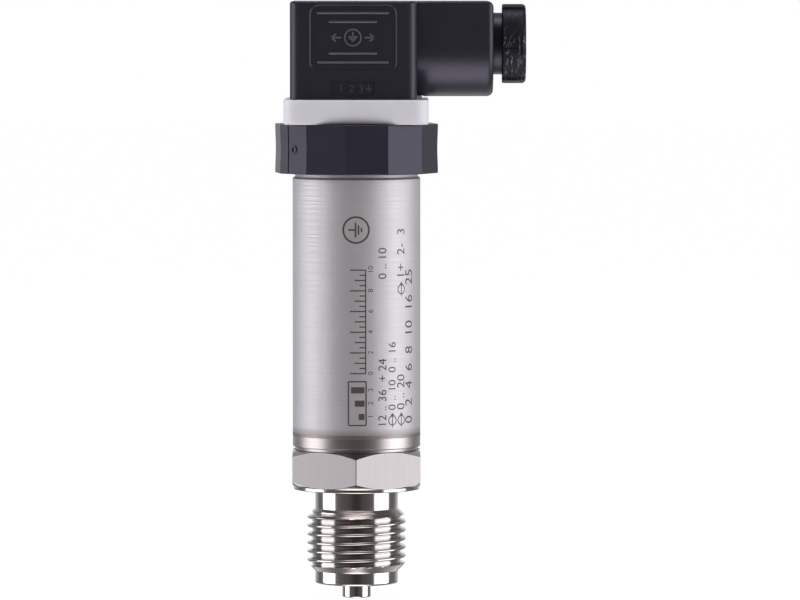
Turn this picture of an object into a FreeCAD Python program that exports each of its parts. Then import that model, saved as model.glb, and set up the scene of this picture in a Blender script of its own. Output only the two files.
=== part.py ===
import FreeCAD, Part
import math
import os
import Sketcher

# Pressure transmitter with a G 1/2 spigot, a stainless case and an angled cable plug.
# Millimetres, +Z up the case. The origin is on the axis, on the sealing face of the spigot,
# and the plug's cable leaves along +X. The hexagon shows a corner towards -Y.

# Driving dimensions, one row of the sheet each
SIZES = [
    # Process connection
    ("pin_radius", 3.0),
    ("pin_length", 3.0),
    ("pin_chamfer", 0.3),
    ("port_radius", 1.5),
    ("collar_radius", 8.75),
    ("collar_height", 2.7),
    ("collar_chamfer", 0.5),
    ("thread_radius", 10.4775),
    ("thread_height", 13.3),
    ("neck_radius", 8.8),
    ("neck_height", 4.0),
    ("hex_height", 8.5),
    ("hex_low_face_inset", 1.8),
    ("hex_top_face_inset", 0.1),
    ("groove_depth", 0.75),
    ("groove_height", 0.6),
    ("shoulder_height", 2.7),
    ("shoulder_chamfer", 0.25),
    ("weld_spigot_height", 4.2),
    ("weld_clearance", 0.02),
    ("spigot_wall", 1.73),
    # Case tube
    ("tube_radius", 13.5),
    ("tube_wall", 2.2),
    ("tube_length", 54.0),
    ("tube_chamfer", 0.35),
    ("relief_depth", 0.65),
    ("relief_height", 0.25),
    ("stop_collar_inset", 0.45),
    ("stop_collar_height", 0.5),
    ("ring_thread_inset", 0.75),
    ("ring_thread_height", 7.1),
    ("ring_thread_chamfer", 0.35),
    # Sensor
    ("capsule_height", 7.0),
    ("capsule_seat_height", 4.0),
    ("seat_clearance", 0.05),
    ("chamber_inset", 1.1),
    ("chamber_height", 1.0),
    ("oil_inset", 2.3),
    ("oil_depth", 0.6),
    ("die_side", 2.4),
    ("die_height", 1.0),
    ("die_pocket_radius", 2.4),
    ("die_pocket_depth", 1.8),
    ("seal_groove_depth", 1.6),
    ("seal_groove_width", 2.2),
    ("seal_groove_height", 2.8),
    ("diaphragm_inset", 1.3),
    ("diaphragm_thickness", 0.12),
    ("corrugation_height", 0.2),
    ("corrugation_margin", 2.8),
    ("header_pin_radius", 0.25),
    ("header_pin_rise", 5.5),
    ("glass_radius", 0.6),
    ("clamp_ring_height", 3.0),
    ("clamp_ring_wall", 3.1),
    ("spanner_slot_width", 1.6),
    ("spanner_slot_depth", 1.2),
    # Board and its carrier
    ("carrier_clearance", 0.1),
    ("carrier_wall", 2.2),
    ("carrier_gap", 5.5),
    ("carrier_ring_height", 3.0),
    ("rail_half_width", 2.6),
    ("board_seat", 5.0),
    ("board_side_margin", 1.2),
    ("board_top_margin", 3.0),
    ("board_thickness", 1.6),
    ("board_clearance", 0.03),
    ("lead_radius", 0.3),
    ("lead_bend", 1.2),
    ("lead_pitch", 1.6),
    ("lead_overlap", 3.0),
    ("lead_shift", 0.3),
    ("chip_width", 3.9),
    ("chip_thickness", 1.5),
    ("amplifier_length", 8.65),
    ("converter_length", 4.9),
    ("chip_pin_pitch", 1.27),
    ("chip_pin_width", 0.42),
    ("chip_pin_reach", 1.0),
    ("chip_pin_height", 0.6),
    ("chip_stand_off", 0.15),
    ("transistor_side", 6.2),
    ("transistor_thickness", 2.2),
    ("transistor_offset", 6.0),
    ("capacitor_radius", 2.0),
    ("capacitor_height", 5.4),
    ("resistor_length", 2.0),
    ("resistor_width", 1.25),
    ("resistor_height", 0.5),
    ("resistor_pitch", 2.4),
    ("resistor_offset", 5.9),
    ("trimmer_inner_margin", 1.9),
    ("trimmer_outer_margin", 1.5),
    ("trimmer_depth", 4.6),
    ("trimmer_height", 7.0),
    ("rotor_radius", 1.1),
    ("rotor_length", 3.4),
    ("rotor_bite", 2.4),
    ("rotor_slot_width", 0.4),
    ("rotor_slot_depth", 0.6),
    ("rotor_clearance", 0.05),
    ("socket_half_width", 5.6),
    ("socket_depth", 2.6),
    ("socket_height", 8.0),
    ("socket_rise", 2.0),
    ("socket_bore_depth", 6.8),
    ("contact_pitch", 2.54),
    ("contact_pin_radius", 0.32),
    ("contact_pin_clearance", 0.05),
    ("contact_pin_engagement", 5.5),
    # Plug base
    ("flange_overhang", 1.7),
    ("flange_height", 5.2),
    ("flange_corner", 3.0),
    ("flange_fillet", 1.2),
    ("clamp_flange_inset", 0.2),
    ("clamp_flange_height", 2.0),
    ("stem_inset", 1.4),
    ("base_clearance", 0.06),
    ("base_spigot_length", 6.5),
    ("base_groove_depth", 1.3),
    ("base_groove_width", 1.7),
    ("base_groove_drop", 3.2),
    ("base_wall", 2.34),
    ("platform_gap", 0.35),
    ("platform_height", 2.2),
    ("platform_corner", 2.5),
    ("insert_radius", 2.1),
    ("insert_length", 6.2),
    ("fixing_thread_radius", 1.5),
    ("fixing_clearance", 0.05),
    ("blade_margin", 1.6),
    ("blade_width", 6.3),
    ("blade_thickness", 0.8),
    ("blade_rise", 8.4),
    ("blade_root", 0.8),
    ("arm_width", 1.2),
    ("arm_thickness", 0.8),
    # Ring nut
    ("ring_wall", 4.01),
    ("ring_turn", 8.0),
    ("ring_gap", 0.05),
    ("ring_lip_height", 1.3),
    ("ring_relief", 0.35),
    ("ring_edge", 0.2),
    ("ring_slit_width", 0.35),
    ("ring_slit_turn", 57.8),
    # Plug housing
    ("plug_gap", 0.05),
    ("housing_half_depth", 13.5),
    ("housing_left_offset", 0.6),
    ("housing_right_offset", 0.7),
    ("housing_height", 20.55),
    ("housing_corner", 1.8),
    ("housing_edge", 0.6),
    ("roof_wall", 2.0),
    ("housing_left_wall", 2.3),
    ("housing_wall", 2.55),
    ("panel_left_margin", 4.3),
    ("panel_right_margin", 4.2),
    ("panel_low_margin", 5.75),
    ("panel_top_margin", 0.95),
    ("panel_depth", 0.25),
    ("panel_corner", 2.0),
    ("rib_height", 0.5),
    ("rib_relief", 0.2),
    ("rib_long_half", 7.6),
    ("rib_short_half", 5.2),
    ("rib_outer_margin", 1.775),
    ("rib_inner_margin", 3.625),
    ("rib_centre_lift", 0.275),
    ("window_width", 9.0),
    ("window_height", 3.0),
    ("window_rise", 0.8),
    ("window_depth", 0.3),
    ("barrel_radius", 11.1),
    ("barrel_length", 16.0),
    ("barrel_edge", 1.3),
    ("gland_rise", 11.55),
    ("gland_bore_radius", 7.2),
    ("gland_bore_depth", 15.6),
    ("wire_hole_radius", 4.4),
    ("wire_hole_inset", 6.4),
    ("boss_radius", 4.6),
    ("boss_length", 3.7),
    ("head_bore_radius", 3.2),
    ("head_bore_depth", 3.6),
    ("screw_hole_radius", 1.8),
    # Profile seal
    ("seal_thickness", 0.7),
    ("seal_margin", 1.3),
    ("seal_right_margin", 0.65),
    ("seal_fit", 0.05),
    ("seal_window_gap", 0.2),
    ("seal_tab_half", 4.0),
    ("seal_tab_reach", 1.0),
    ("seal_tab_root", 0.3),
    # Terminal block and contacts
    ("block_gap", 0.3),
    ("block_fit", 0.1),
    ("block_height", 8.5),
    ("post_radius", 3.4),
    ("sleeve_gap", 0.3),
    ("sleeve_wall", 0.6),
    ("sleeve_lift", 0.5),
    ("sleeve_fit", 0.05),
    ("sleeve_side_wall", 0.48),
    ("lug_post_gap", 1.4),
    ("lug_width", 6.0),
    ("lug_height", 4.4),
    ("lug_hole_radius", 1.1),
    ("lug_hole_rise", 1.76),
    ("terminal_screw_radius", 1.25),
    ("terminal_head_radius", 1.9),
    ("terminal_head_height", 1.2),
    ("terminal_screw_bite", 1.8),
    # Fixing screw
    ("screw_head_radius", 2.8),
    ("screw_head_height", 2.1),
    ("screw_slot_width", 0.8),
    ("screw_slot_depth", 1.0),
    ("screw_engagement", 5.4),
    ("screw_seal_height", 0.8),
    ("screw_head_gap", 0.05),
    # Cable gland
    ("grommet_length", 6.2),
    ("grommet_bore_radius", 3.6),
    ("grommet_fit", 0.05),
    ("gland_gap", 0.05),
    ("washer_thickness", 1.0),
    ("washer_bore_radius", 4.6),
    ("washer_clearance", 0.1),
    ("nut_bore_radius", 4.5),
    ("nut_thread_clearance", 0.05),
    ("nut_neck_radius", 6.5),
    ("nut_neck_reach", 1.9),
    ("nut_neck_bite", 0.5),
    ("nut_head_radius", 8.35),
    ("nut_head_length", 5.0),
    ("nut_head_chamfer", 0.8),
    ("nut_notch_width", 2.1),
    ("nut_notch_depth", 0.4),
]

HEX_CORNERS = 6
RING_SIDES = 12
HEADER_PINS = 5
AMPLIFIER_PINS_PER_SIDE = 7
CONVERTER_PINS_PER_SIDE = 4
CONTACTS = 4
CAPACITORS = 3
RESISTORS = 6
CORRUGATIONS = 3
NUT_LOBES = 6
# Places on the board, as shares of its height and of half its width
AMPLIFIER_SHARE = 0.25
CONVERTER_SHARE = 0.592
CAPACITOR_ROW_SHARE = 0.5
CAPACITOR_PITCH_SHARE = 0.52
RESISTOR_SHARE = 0.62
# The header's pin circle, as a share of the capsule's radius
HEADER_SHARE = 0.4842
# Parts of one corrugation of the diaphragm, as shares of its pitch
RIDGE_START_SHARE = 0.75
RIDGE_FLANK_SHARE = 0.15
RIDGE_CREST_SHARE = 0.3
HEX_CHAMFER_SLOPE = math.tan(math.radians(30))
# How far a cutting shape stands past the surface that it cuts, as a share of that surface's reach
OVERCUT = 1.1
# An edge with less than this width or depth stands upright, and one with less height lies flat
EDGE_TOLERANCE = 0.01

doc = FreeCAD.newDocument("PressureTransmitter")
sheet = doc.addObject("Spreadsheet::Sheet", "sizes")
for row, (alias, number) in enumerate(SIZES, start=1):
    sheet.set("A%d" % row, alias)
    sheet.set("B%d" % row, str(number))
    sheet.setAlias("B%d" % row, alias)
doc.recompute()


class Size:
    """A length that knows both its number and the expression it comes from."""

    def __init__(self, number, text):
        self.number = number
        self.text = text

    def joined(self, sign, other, number):
        return Size(number, "(%s %s %s)" % (self.text, sign, other.text))

    def __add__(self, other):
        other = size_of(other)
        return self.joined("+", other, self.number + other.number)

    def __sub__(self, other):
        other = size_of(other)
        return self.joined("-", other, self.number - other.number)

    def __mul__(self, other):
        other = size_of(other)
        return self.joined("*", other, self.number * other.number)

    def __truediv__(self, other):
        other = size_of(other)
        return self.joined("/", other, self.number / other.number)

    def __neg__(self):
        return size_of(0) - self


def size_of(item):
    if isinstance(item, Size):
        return item
    return Size(float(item), "%.9f" % item)


class Sizes:
    """Reads a driving dimension by its name."""

    def __getattr__(self, alias):
        return Size(float(sheet.get(alias)), "sizes." + alias)


s = Sizes()


def bind(item, prop, size):
    """Ties one property to the sheet."""
    size = size_of(size)
    item.setExpression(prop, size.text)


def new_body(label, many=False):
    body = doc.addObject("PartDesign::Body", label)
    body.AllowCompound = many
    return body


def new_sketch(body, name, role, offset):
    sketch = body.newObject("Sketcher::SketchObject", name)
    plane = [item for item in body.Origin.OriginFeatures if item.Role == role][0]
    sketch.AttachmentSupport = [(plane, "")]
    sketch.MapMode = "FlatFace"
    offset = size_of(offset)
    sketch.AttachmentOffset = FreeCAD.Placement(FreeCAD.Vector(0, 0, offset.number), FreeCAD.Rotation())
    bind(sketch, "AttachmentOffset.Base.z", offset)
    return sketch


def constrain(sketch, kind, size, *items):
    """Adds one driven dimension."""
    number = sketch.addConstraint(Sketcher.Constraint(kind, *items, size.number))
    bind(sketch, "Constraints[%d]" % number, size)


def fix_point(sketch, curve, end, x, y):
    """Holds a point of the sketch at two sizes from its origin."""
    for kind, size, axis in (("DistanceX", size_of(x), -2), ("DistanceY", size_of(y), -1)):
        if size.number == 0 and "sizes." not in size.text:
            sketch.addConstraint(Sketcher.Constraint("PointOnObject", curve, end, axis))
        else:
            constrain(sketch, kind, size, -1, 1, curve, end)


def draw_loop(sketch, corners):
    first = sketch.GeometryCount
    count = len(corners)
    points = [FreeCAD.Vector(size_of(x).number, size_of(y).number, 0) for x, y in corners]
    for index in range(count):
        sketch.addGeometry(Part.LineSegment(points[index], points[(index + 1) % count]))
    for index in range(count):
        following = first + (index + 1) % count
        sketch.addConstraint(Sketcher.Constraint("Coincident", first + index, 2, following, 1))
    for index, (x, y) in enumerate(corners):
        fix_point(sketch, first + index, 1, x, y)


def draw_circle(sketch, x, y, radius):
    centre = FreeCAD.Vector(size_of(x).number, size_of(y).number, 0)
    circle = Part.Circle(centre, FreeCAD.Vector(0, 0, 1), radius.number)
    curve = sketch.addGeometry(circle)
    fix_point(sketch, curve, 3, x, y)
    constrain(sketch, "Radius", radius, curve)


def rectangle(x_low, y_low, x_high, y_high):
    return [(x_low, y_low), (x_high, y_low), (x_high, y_high), (x_low, y_high)]


def revolve(body, name, corners, kind="PartDesign::Revolution"):
    """Turns a profile of (radius, height) corners about the Z axis."""
    sketch = new_sketch(body, name + "_profile", "XZ_Plane", 0)
    draw_loop(sketch, corners)
    feature = body.newObject(kind, name)
    feature.Profile = sketch
    feature.ReferenceAxis = (sketch, ["V_Axis"])
    feature.Angle = 360
    return feature


def extrude(body, name, low, length, loops=(), circles=(), role="XY_Plane", cut=False):
    """Pads or cuts sketch loops from the level low, along the sketch's normal."""
    sketch = new_sketch(body, name + "_sketch", role, low)
    for corners in loops:
        draw_loop(sketch, corners)
    for x, y, radius in circles:
        draw_circle(sketch, x, y, radius)
    feature = body.newObject("PartDesign::Pocket" if cut else "PartDesign::Pad", name)
    feature.Profile = sketch
    feature.Reversed = cut
    bind(feature, "Length", length)
    return feature


def polar(body, name, originals, count):
    """Repeats features around the Z axis."""
    pattern = body.newObject("PartDesign::PolarPattern", name)
    pattern.Originals = originals
    axis = [item for item in body.Origin.OriginFeatures if item.Role == "Z_Axis"][0]
    pattern.Axis = (axis, [""])
    pattern.Angle = 360
    pattern.Occurrences = count
    body.Tip = pattern
    return pattern


def edge_names(feature, test):
    """Names the edges whose middle and bounding box pass a test."""
    names = []
    for number, edge in enumerate(feature.Shape.Edges, start=1):
        box = edge.BoundBox
        if test(box.Center, box):
            names.append("Edge%d" % number)
    return names


def round_edges(body, name, feature, test, size, kind="PartDesign::Fillet"):
    """Fillets or chamfers the edges of a feature that pass a test."""
    doc.recompute()
    item = body.newObject(kind, name)
    item.Base = (feature, edge_names(feature, test))
    bind(item, "Radius" if kind.endswith("Fillet") else "Size", size)
    return item


def close(a, b):
    return abs(a - size_of(b).number) < 1e-4


def upright(box):
    return box.XLength < EDGE_TOLERANCE and box.YLength < EDGE_TOLERANCE


def flat(box):
    return box.ZLength < EDGE_TOLERANCE


def place(item, x, y, z):
    for axis, size in (("x", x), ("y", y), ("z", z)):
        bind(item, "Placement.Base." + axis, size)


def block(label, low, span):
    """A box from its low corner and its three lengths."""
    item = doc.addObject("Part::Box", label)
    for prop, size in zip(("Length", "Width", "Height"), span):
        bind(item, prop, size)
    place(item, *low)
    return item


def rod(label, base, radius, length, turn=None):
    """A cylinder from the centre of its base; turn is (axis, degrees)."""
    item = doc.addObject("Part::Cylinder", label)
    bind(item, "Radius", radius)
    bind(item, "Height", length)
    if turn:
        item.Placement.Rotation = FreeCAD.Rotation(FreeCAD.Vector(*turn[0]), turn[1])
    place(item, *base)
    return item


def joined(label, items):
    item = doc.addObject("Part::MultiFuse", label)
    item.Shapes = items
    item.Refine = True
    return item


def grouped(label, items):
    item = doc.addObject("Part::Compound", label)
    item.Links = items
    return item


def less(label, base, tool):
    item = doc.addObject("Part::Cut", label)
    item.Base = base
    item.Tool = tool
    return item


X_AXIS = (1, 0, 0)

# Radii and half widths that several pieces share
tube_bore = s.tube_radius - s.tube_wall
ring_thread_radius = s.tube_radius - s.ring_thread_inset
stem_radius = ring_thread_radius - s.stem_inset
spigot_radius = tube_bore - s.weld_clearance
seat_radius = spigot_radius - s.spigot_wall
capsule_radius = seat_radius - s.seat_clearance
header_circle_radius = capsule_radius * HEADER_SHARE
carrier_radius = tube_bore - s.carrier_clearance
board_half_width = carrier_radius - s.board_side_margin
cavity_half = s.housing_half_depth - s.housing_wall
housing_left = s.housing_half_depth + s.housing_left_offset
housing_right = s.housing_half_depth - s.housing_right_offset
barrel_end = housing_right + s.barrel_length
cavity_left = housing_left - s.housing_left_wall
platform_half = cavity_half - s.platform_gap
blade_circle_radius = platform_half - s.blade_margin

# Levels along the Z axis, from the sealing face upwards
thread_top = s.collar_height + s.thread_height
hex_low = thread_top + s.neck_height
hex_top = hex_low + s.hex_height
shoulder_low = hex_top + s.groove_height
shoulder_top = shoulder_low + s.shoulder_height
spigot_top = shoulder_top + s.weld_spigot_height
tube_top = shoulder_top + s.tube_length
relief_low = tube_top + s.tube_chamfer
stop_low = relief_low + s.relief_height
stop_top = stop_low + s.stop_collar_height
neck_top = stop_top + s.ring_thread_height
clamp_top = neck_top + s.clamp_flange_height
ring_low = stop_top + s.ring_gap
lip_low = clamp_top + s.ring_gap
ring_top = lip_low + s.ring_lip_height
flange_low = ring_top + s.ring_gap
flange_top = flange_low + s.flange_height
platform_top = flange_top + s.platform_height
housing_low = flange_top + s.plug_gap
housing_top = housing_low + s.housing_height
gland_level = housing_low + s.gland_rise
capsule_low = hex_low + s.capsule_seat_height
capsule_top = capsule_low + s.capsule_height
clamp_ring_top = capsule_top + s.clamp_ring_height
header_tip = capsule_top + s.header_pin_rise
base_low = neck_top - s.base_spigot_length
carrier_top = base_low - s.carrier_gap
board_low = spigot_top + s.board_seat
board_top = carrier_top - s.board_top_margin
board_height = board_top - board_low

nodes = []

# Process connection: one turned stainless piece with its hexagon milled
hex_corner = s.tube_radius / math.cos(math.pi / HEX_CORNERS)
hex_low_face_radius = s.tube_radius - s.hex_low_face_inset
hex_top_face_radius = s.tube_radius - s.hex_top_face_inset
low_taper = (hex_corner - hex_low_face_radius) * HEX_CHAMFER_SLOPE
top_taper = (hex_corner - hex_top_face_radius) * HEX_CHAMFER_SLOPE
chamber_radius = capsule_radius - s.chamber_inset
connection = new_body("process_connection")
turned = revolve(connection, "turned_form", [
    (s.port_radius, -s.pin_length),
    (s.pin_radius - s.pin_chamfer, -s.pin_length),
    (s.pin_radius, s.pin_chamfer - s.pin_length),
    (s.pin_radius, 0),
    (s.collar_radius - s.collar_chamfer, 0),
    (s.collar_radius, s.collar_chamfer),
    (s.collar_radius, s.collar_height),
    (s.thread_radius, s.collar_height + s.thread_radius - s.collar_radius),
    (s.thread_radius, thread_top - s.thread_radius + s.neck_radius),
    (s.neck_radius, thread_top),
    (s.neck_radius, hex_low),
    (hex_low_face_radius, hex_low),
    (hex_corner, hex_low + low_taper),
    (hex_corner, hex_top - top_taper),
    (hex_top_face_radius, hex_top),
    (s.tube_radius - s.groove_depth, hex_top),
    (s.tube_radius - s.groove_depth, shoulder_low),
    (s.tube_radius - s.shoulder_chamfer, shoulder_low),
    (s.tube_radius, shoulder_low + s.shoulder_chamfer),
    (s.tube_radius, shoulder_top),
    (spigot_radius, shoulder_top),
    (spigot_radius, spigot_top),
    (seat_radius, spigot_top),
    (seat_radius, capsule_low),
    (chamber_radius, capsule_low),
    (chamber_radius, capsule_low - s.chamber_height),
    (s.port_radius, capsule_low - s.chamber_height),
])
hexagon = []
for index in range(HEX_CORNERS):
    angle = math.radians(360 / HEX_CORNERS * index - 90)
    hexagon.append((hex_corner * math.cos(angle), hex_corner * math.sin(angle)))
extrude(connection, "milled_flats", hex_low, s.hex_height, loops=[hexagon],
        circles=[(0, 0, hex_corner * OVERCUT)], cut=True)
nodes.append(connection)

# Case tube: turned stainless tube, welded to the shoulder, with a stop collar and a threaded neck
tube = new_body("case_tube")
relief_radius = s.tube_radius - s.relief_depth
stop_collar_radius = s.tube_radius - s.stop_collar_inset
revolve(tube, "tube_form", [
    (tube_bore, shoulder_top),
    (s.tube_radius, shoulder_top),
    (s.tube_radius, tube_top),
    (s.tube_radius - s.tube_chamfer, relief_low),
    (relief_radius, relief_low),
    (relief_radius, stop_low),
    (stop_collar_radius, stop_low),
    (stop_collar_radius, stop_top),
    (ring_thread_radius, stop_top),
    (ring_thread_radius, neck_top - s.ring_thread_chamfer),
    (ring_thread_radius - s.ring_thread_chamfer, neck_top),
    (tube_bore, neck_top),
])
nodes.append(tube)

# Sensor capsule: turned steel body with an oil space below, a seal groove and header holes
capsule = new_body("sensor_capsule")
oil_radius = capsule_radius - s.oil_inset
groove_low = capsule_low + s.seal_groove_height
groove_radius = capsule_radius - s.seal_groove_depth
oil_roof = capsule_low + s.oil_depth
revolve(capsule, "capsule_form", [
    (0, capsule_top),
    (0, oil_roof + s.die_pocket_depth),
    (s.die_pocket_radius, oil_roof + s.die_pocket_depth),
    (s.die_pocket_radius, oil_roof),
    (oil_radius, oil_roof),
    (oil_radius, capsule_low),
    (capsule_radius, capsule_low),
    (capsule_radius, groove_low),
    (groove_radius, groove_low),
    (groove_radius, groove_low + s.seal_groove_width),
    (capsule_radius, groove_low + s.seal_groove_width),
    (capsule_radius, capsule_top),
])
header_hole = extrude(capsule, "header_hole", oil_roof, capsule_top - oil_roof,
                      circles=[(header_circle_radius, 0, s.glass_radius)], cut=True)
polar(capsule, "header_holes", [header_hole], HEADER_PINS)
nodes.append(capsule)

# Isolating diaphragm: thin disc with ring corrugations, welded under the capsule's rim
diaphragm = new_body("isolating_diaphragm")
diaphragm_radius = capsule_radius - s.diaphragm_inset
corrugation_pitch = (diaphragm_radius - s.corrugation_margin) / CORRUGATIONS
ridge_flank = corrugation_pitch * RIDGE_FLANK_SHARE
upper_line = [(0, 0)]
for index in range(CORRUGATIONS):
    start = corrugation_pitch * (index + RIDGE_START_SHARE)
    crest_end = start + ridge_flank + corrugation_pitch * RIDGE_CREST_SHARE
    upper_line.append((start, 0))
    upper_line.append((start + ridge_flank, s.corrugation_height))
    upper_line.append((crest_end, s.corrugation_height))
    upper_line.append((crest_end + ridge_flank, 0))
upper_line.append((diaphragm_radius, 0))
foil_profile = [(radius, capsule_low + lift) for radius, lift in upper_line]
foil_profile += [(radius, capsule_low - s.diaphragm_thickness + lift)
                 for radius, lift in reversed(upper_line)]
revolve(diaphragm, "diaphragm_form", foil_profile)
nodes.append(diaphragm)

# Sensing die: silicon on its pedestal, bonded to the roof of its pocket
die_roof = oil_roof + s.die_pocket_depth
nodes.append(block("sensing_die",
                   (s.die_side * -0.5, s.die_side * -0.5, die_roof - s.die_height),
                   (s.die_side, s.die_side, s.die_height)))

# Sensor O-ring: rubber, in the capsule's groove
o_ring_cord = (seat_radius - groove_radius) / 2
seal_ring = doc.addObject("Part::Torus", "sensor_o_ring")
bind(seal_ring, "Radius1", groove_radius + o_ring_cord)
bind(seal_ring, "Radius2", o_ring_cord - s.weld_clearance)
place(seal_ring, 0, 0, groove_low + s.seal_groove_width / 2)
nodes.append(seal_ring)

# Clamp ring: screwed in over the capsule, with a slot for a pin spanner
clamp = new_body("sensor_retaining_ring")
extrude(clamp, "clamp_ring_form", capsule_top, s.clamp_ring_height,
        circles=[(0, 0, capsule_radius), (0, 0, capsule_radius - s.clamp_ring_wall)])
spanner_half = s.spanner_slot_width / 2
extrude(clamp, "spanner_slot", clamp_ring_top - s.spanner_slot_depth, s.spanner_slot_depth, cut=True,
        loops=[rectangle(capsule_radius * -OVERCUT, -spanner_half, capsule_radius * OVERCUT, spanner_half)])
nodes.append(clamp)

# Header pins and the glass beads that hold them
pins = new_body("header_pins", many=True)
pin_low = capsule_low + s.oil_depth / 2
header_pin = extrude(pins, "header_pin", pin_low, header_tip - pin_low,
                     circles=[(header_circle_radius, 0, s.header_pin_radius)])
polar(pins, "header_pin_circle", [header_pin], HEADER_PINS)
nodes.append(pins)
beads = new_body("glass_seals", many=True)
bead = extrude(beads, "bead", oil_roof, capsule_top - oil_roof,
               circles=[(header_circle_radius, 0, s.glass_radius),
                        (header_circle_radius, 0, s.header_pin_radius)])
polar(beads, "bead_circle", [bead], HEADER_PINS)
nodes.append(beads)

# Board carrier: moulded cage, two rings joined by two slotted rails
carrier = new_body("board_carrier")
carrier_bore = carrier_radius - s.carrier_wall
extrude(carrier, "cage", spigot_top, carrier_top - spigot_top,
        circles=[(0, 0, carrier_radius), (0, 0, carrier_bore)])
cage_window_low = spigot_top + s.carrier_ring_height
cage_window_height = carrier_top - s.carrier_ring_height - cage_window_low
extrude(carrier, "cage_windows", cage_window_low, cage_window_height, cut=True,
        loops=[rectangle(-tube_bore, s.rail_half_width, tube_bore, tube_bore),
               rectangle(-tube_bore, -tube_bore, tube_bore, -s.rail_half_width)])
slot_reach = board_half_width + s.board_clearance
slot_side = s.board_thickness / 2 + s.board_clearance
extrude(carrier, "board_slots", board_low, carrier_top - board_low, cut=True,
        loops=[rectangle(-slot_reach, -slot_side, slot_reach, slot_side)])
nodes.append(carrier)

# Circuit board, upright in the rails; the front face looks along -Y
board_front = s.board_thickness * -0.5
board_back = s.board_thickness * 0.5
nodes.append(block("circuit_board",
                   (-board_half_width, board_front, board_low),
                   (board_half_width * 2, s.board_thickness, board_height)))


def chip(label, level, length, pin_count):
    """A moulded chip on the board's front face, with a row of pins on each side."""
    body_half = s.chip_width / 2
    pieces = [block(label + "_case",
                    (-body_half, board_front - s.chip_thickness, level),
                    (s.chip_width, s.chip_thickness - s.chip_stand_off, length))]
    first_pin = level + length / 2 - s.chip_pin_pitch * ((pin_count - 1) / 2) - s.chip_pin_width / 2
    for side in (0, 1):
        pin_x = body_half if side else -body_half - s.chip_pin_reach
        for index in range(pin_count):
            pieces.append(block("%s_pin_%d_%d" % (label, side, index),
                                (pin_x, board_front - s.chip_pin_height,
                                 first_pin + s.chip_pin_pitch * index),
                                (s.chip_pin_reach, s.chip_pin_height, s.chip_pin_width)))
    return joined(label, pieces)


# Chips: the amplifier and the current output converter
nodes.append(chip("amplifier_chip", board_low + board_height * AMPLIFIER_SHARE, s.amplifier_length,
                  AMPLIFIER_PINS_PER_SIDE))
nodes.append(chip("converter_chip", board_low + board_height * CONVERTER_SHARE, s.converter_length,
                  CONVERTER_PINS_PER_SIDE))

# Output transistor on the board's back face
nodes.append(block("output_transistor",
                   (s.transistor_side * -0.5, board_back, board_low + s.transistor_offset),
                   (s.transistor_side, s.transistor_thickness, s.transistor_side)))

# Capacitors in a row across the board's back face
cans = []
can_level = board_low + board_height * CAPACITOR_ROW_SHARE
for index in range(CAPACITORS):
    offset = board_half_width * (CAPACITOR_PITCH_SHARE * (index - (CAPACITORS - 1) / 2))
    cans.append(rod("capacitor_%d" % index, (offset, board_back, can_level),
                    s.capacitor_radius, s.capacitor_height, (X_AXIS, -90)))
nodes.append(grouped("capacitors", cans))

# Chip resistors in two rows beside the amplifier
chips = []
for index in range(RESISTORS):
    side = 1 if index % 2 else -1
    resistor_x = board_half_width * (RESISTOR_SHARE * side) - s.resistor_length / 2
    level = board_low + s.resistor_offset + s.resistor_pitch * (index // 2)
    chips.append(block("resistor_%d" % index, (resistor_x, board_front - s.resistor_height, level),
                       (s.resistor_length, s.resistor_height, s.resistor_width)))
nodes.append(grouped("resistors", chips))

# Zero and span trimmers at the top of the board's back face, each with its slotted screw
trimmer_low = board_top - s.trimmer_height
rotor_low = board_top - s.rotor_bite
trimmer_centre = board_back + s.trimmer_depth / 2
trimmer_width = board_half_width - s.trimmer_inner_margin - s.trimmer_outer_margin
for name, side in (("zero", -1), ("span", 1)):
    centre_x = (s.trimmer_inner_margin + trimmer_width / 2) * side
    case = block(name + "_trimmer_case",
                 (centre_x - trimmer_width / 2, board_back, trimmer_low),
                 (trimmer_width, s.trimmer_depth, s.trimmer_height))
    bore = rod(name + "_trimmer_bore", (centre_x, trimmer_centre, rotor_low - s.rotor_clearance),
               s.rotor_radius + s.rotor_clearance, s.rotor_bite + s.rotor_clearance * 2)
    nodes.append(less(name + "_trimmer", case, bore))
    screw = rod(name + "_rotor_screw", (centre_x, trimmer_centre, rotor_low), s.rotor_radius, s.rotor_length)
    slot = block(name + "_rotor_slot",
                 (centre_x - s.rotor_radius * OVERCUT, trimmer_centre - s.rotor_slot_width / 2,
                  rotor_low + s.rotor_length - s.rotor_slot_depth),
                 (s.rotor_radius * OVERCUT * 2, s.rotor_slot_width, s.rotor_slot_depth * OVERCUT))
    nodes.append(less(name + "_trimmer_rotor", screw, slot))

# Socket strip at the top of the board's front face, bored for the pins of the plug base
socket_top = board_top + s.socket_rise
pin_row_y = board_front - s.socket_depth / 2
pin_columns = [s.contact_pitch * (index - (CONTACTS - 1) / 2) for index in range(CONTACTS)]
socket = new_body("socket_strip")
extrude(socket, "socket_case", socket_top - s.socket_height, s.socket_height,
        loops=[rectangle(-s.socket_half_width, board_front - s.socket_depth,
                         s.socket_half_width, board_front)])
extrude(socket, "socket_bores", socket_top - s.socket_bore_depth, s.socket_bore_depth, cut=True,
        circles=[(column, pin_row_y, s.contact_pin_radius + s.contact_pin_clearance)
                 for column in pin_columns])
nodes.append(socket)


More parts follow.
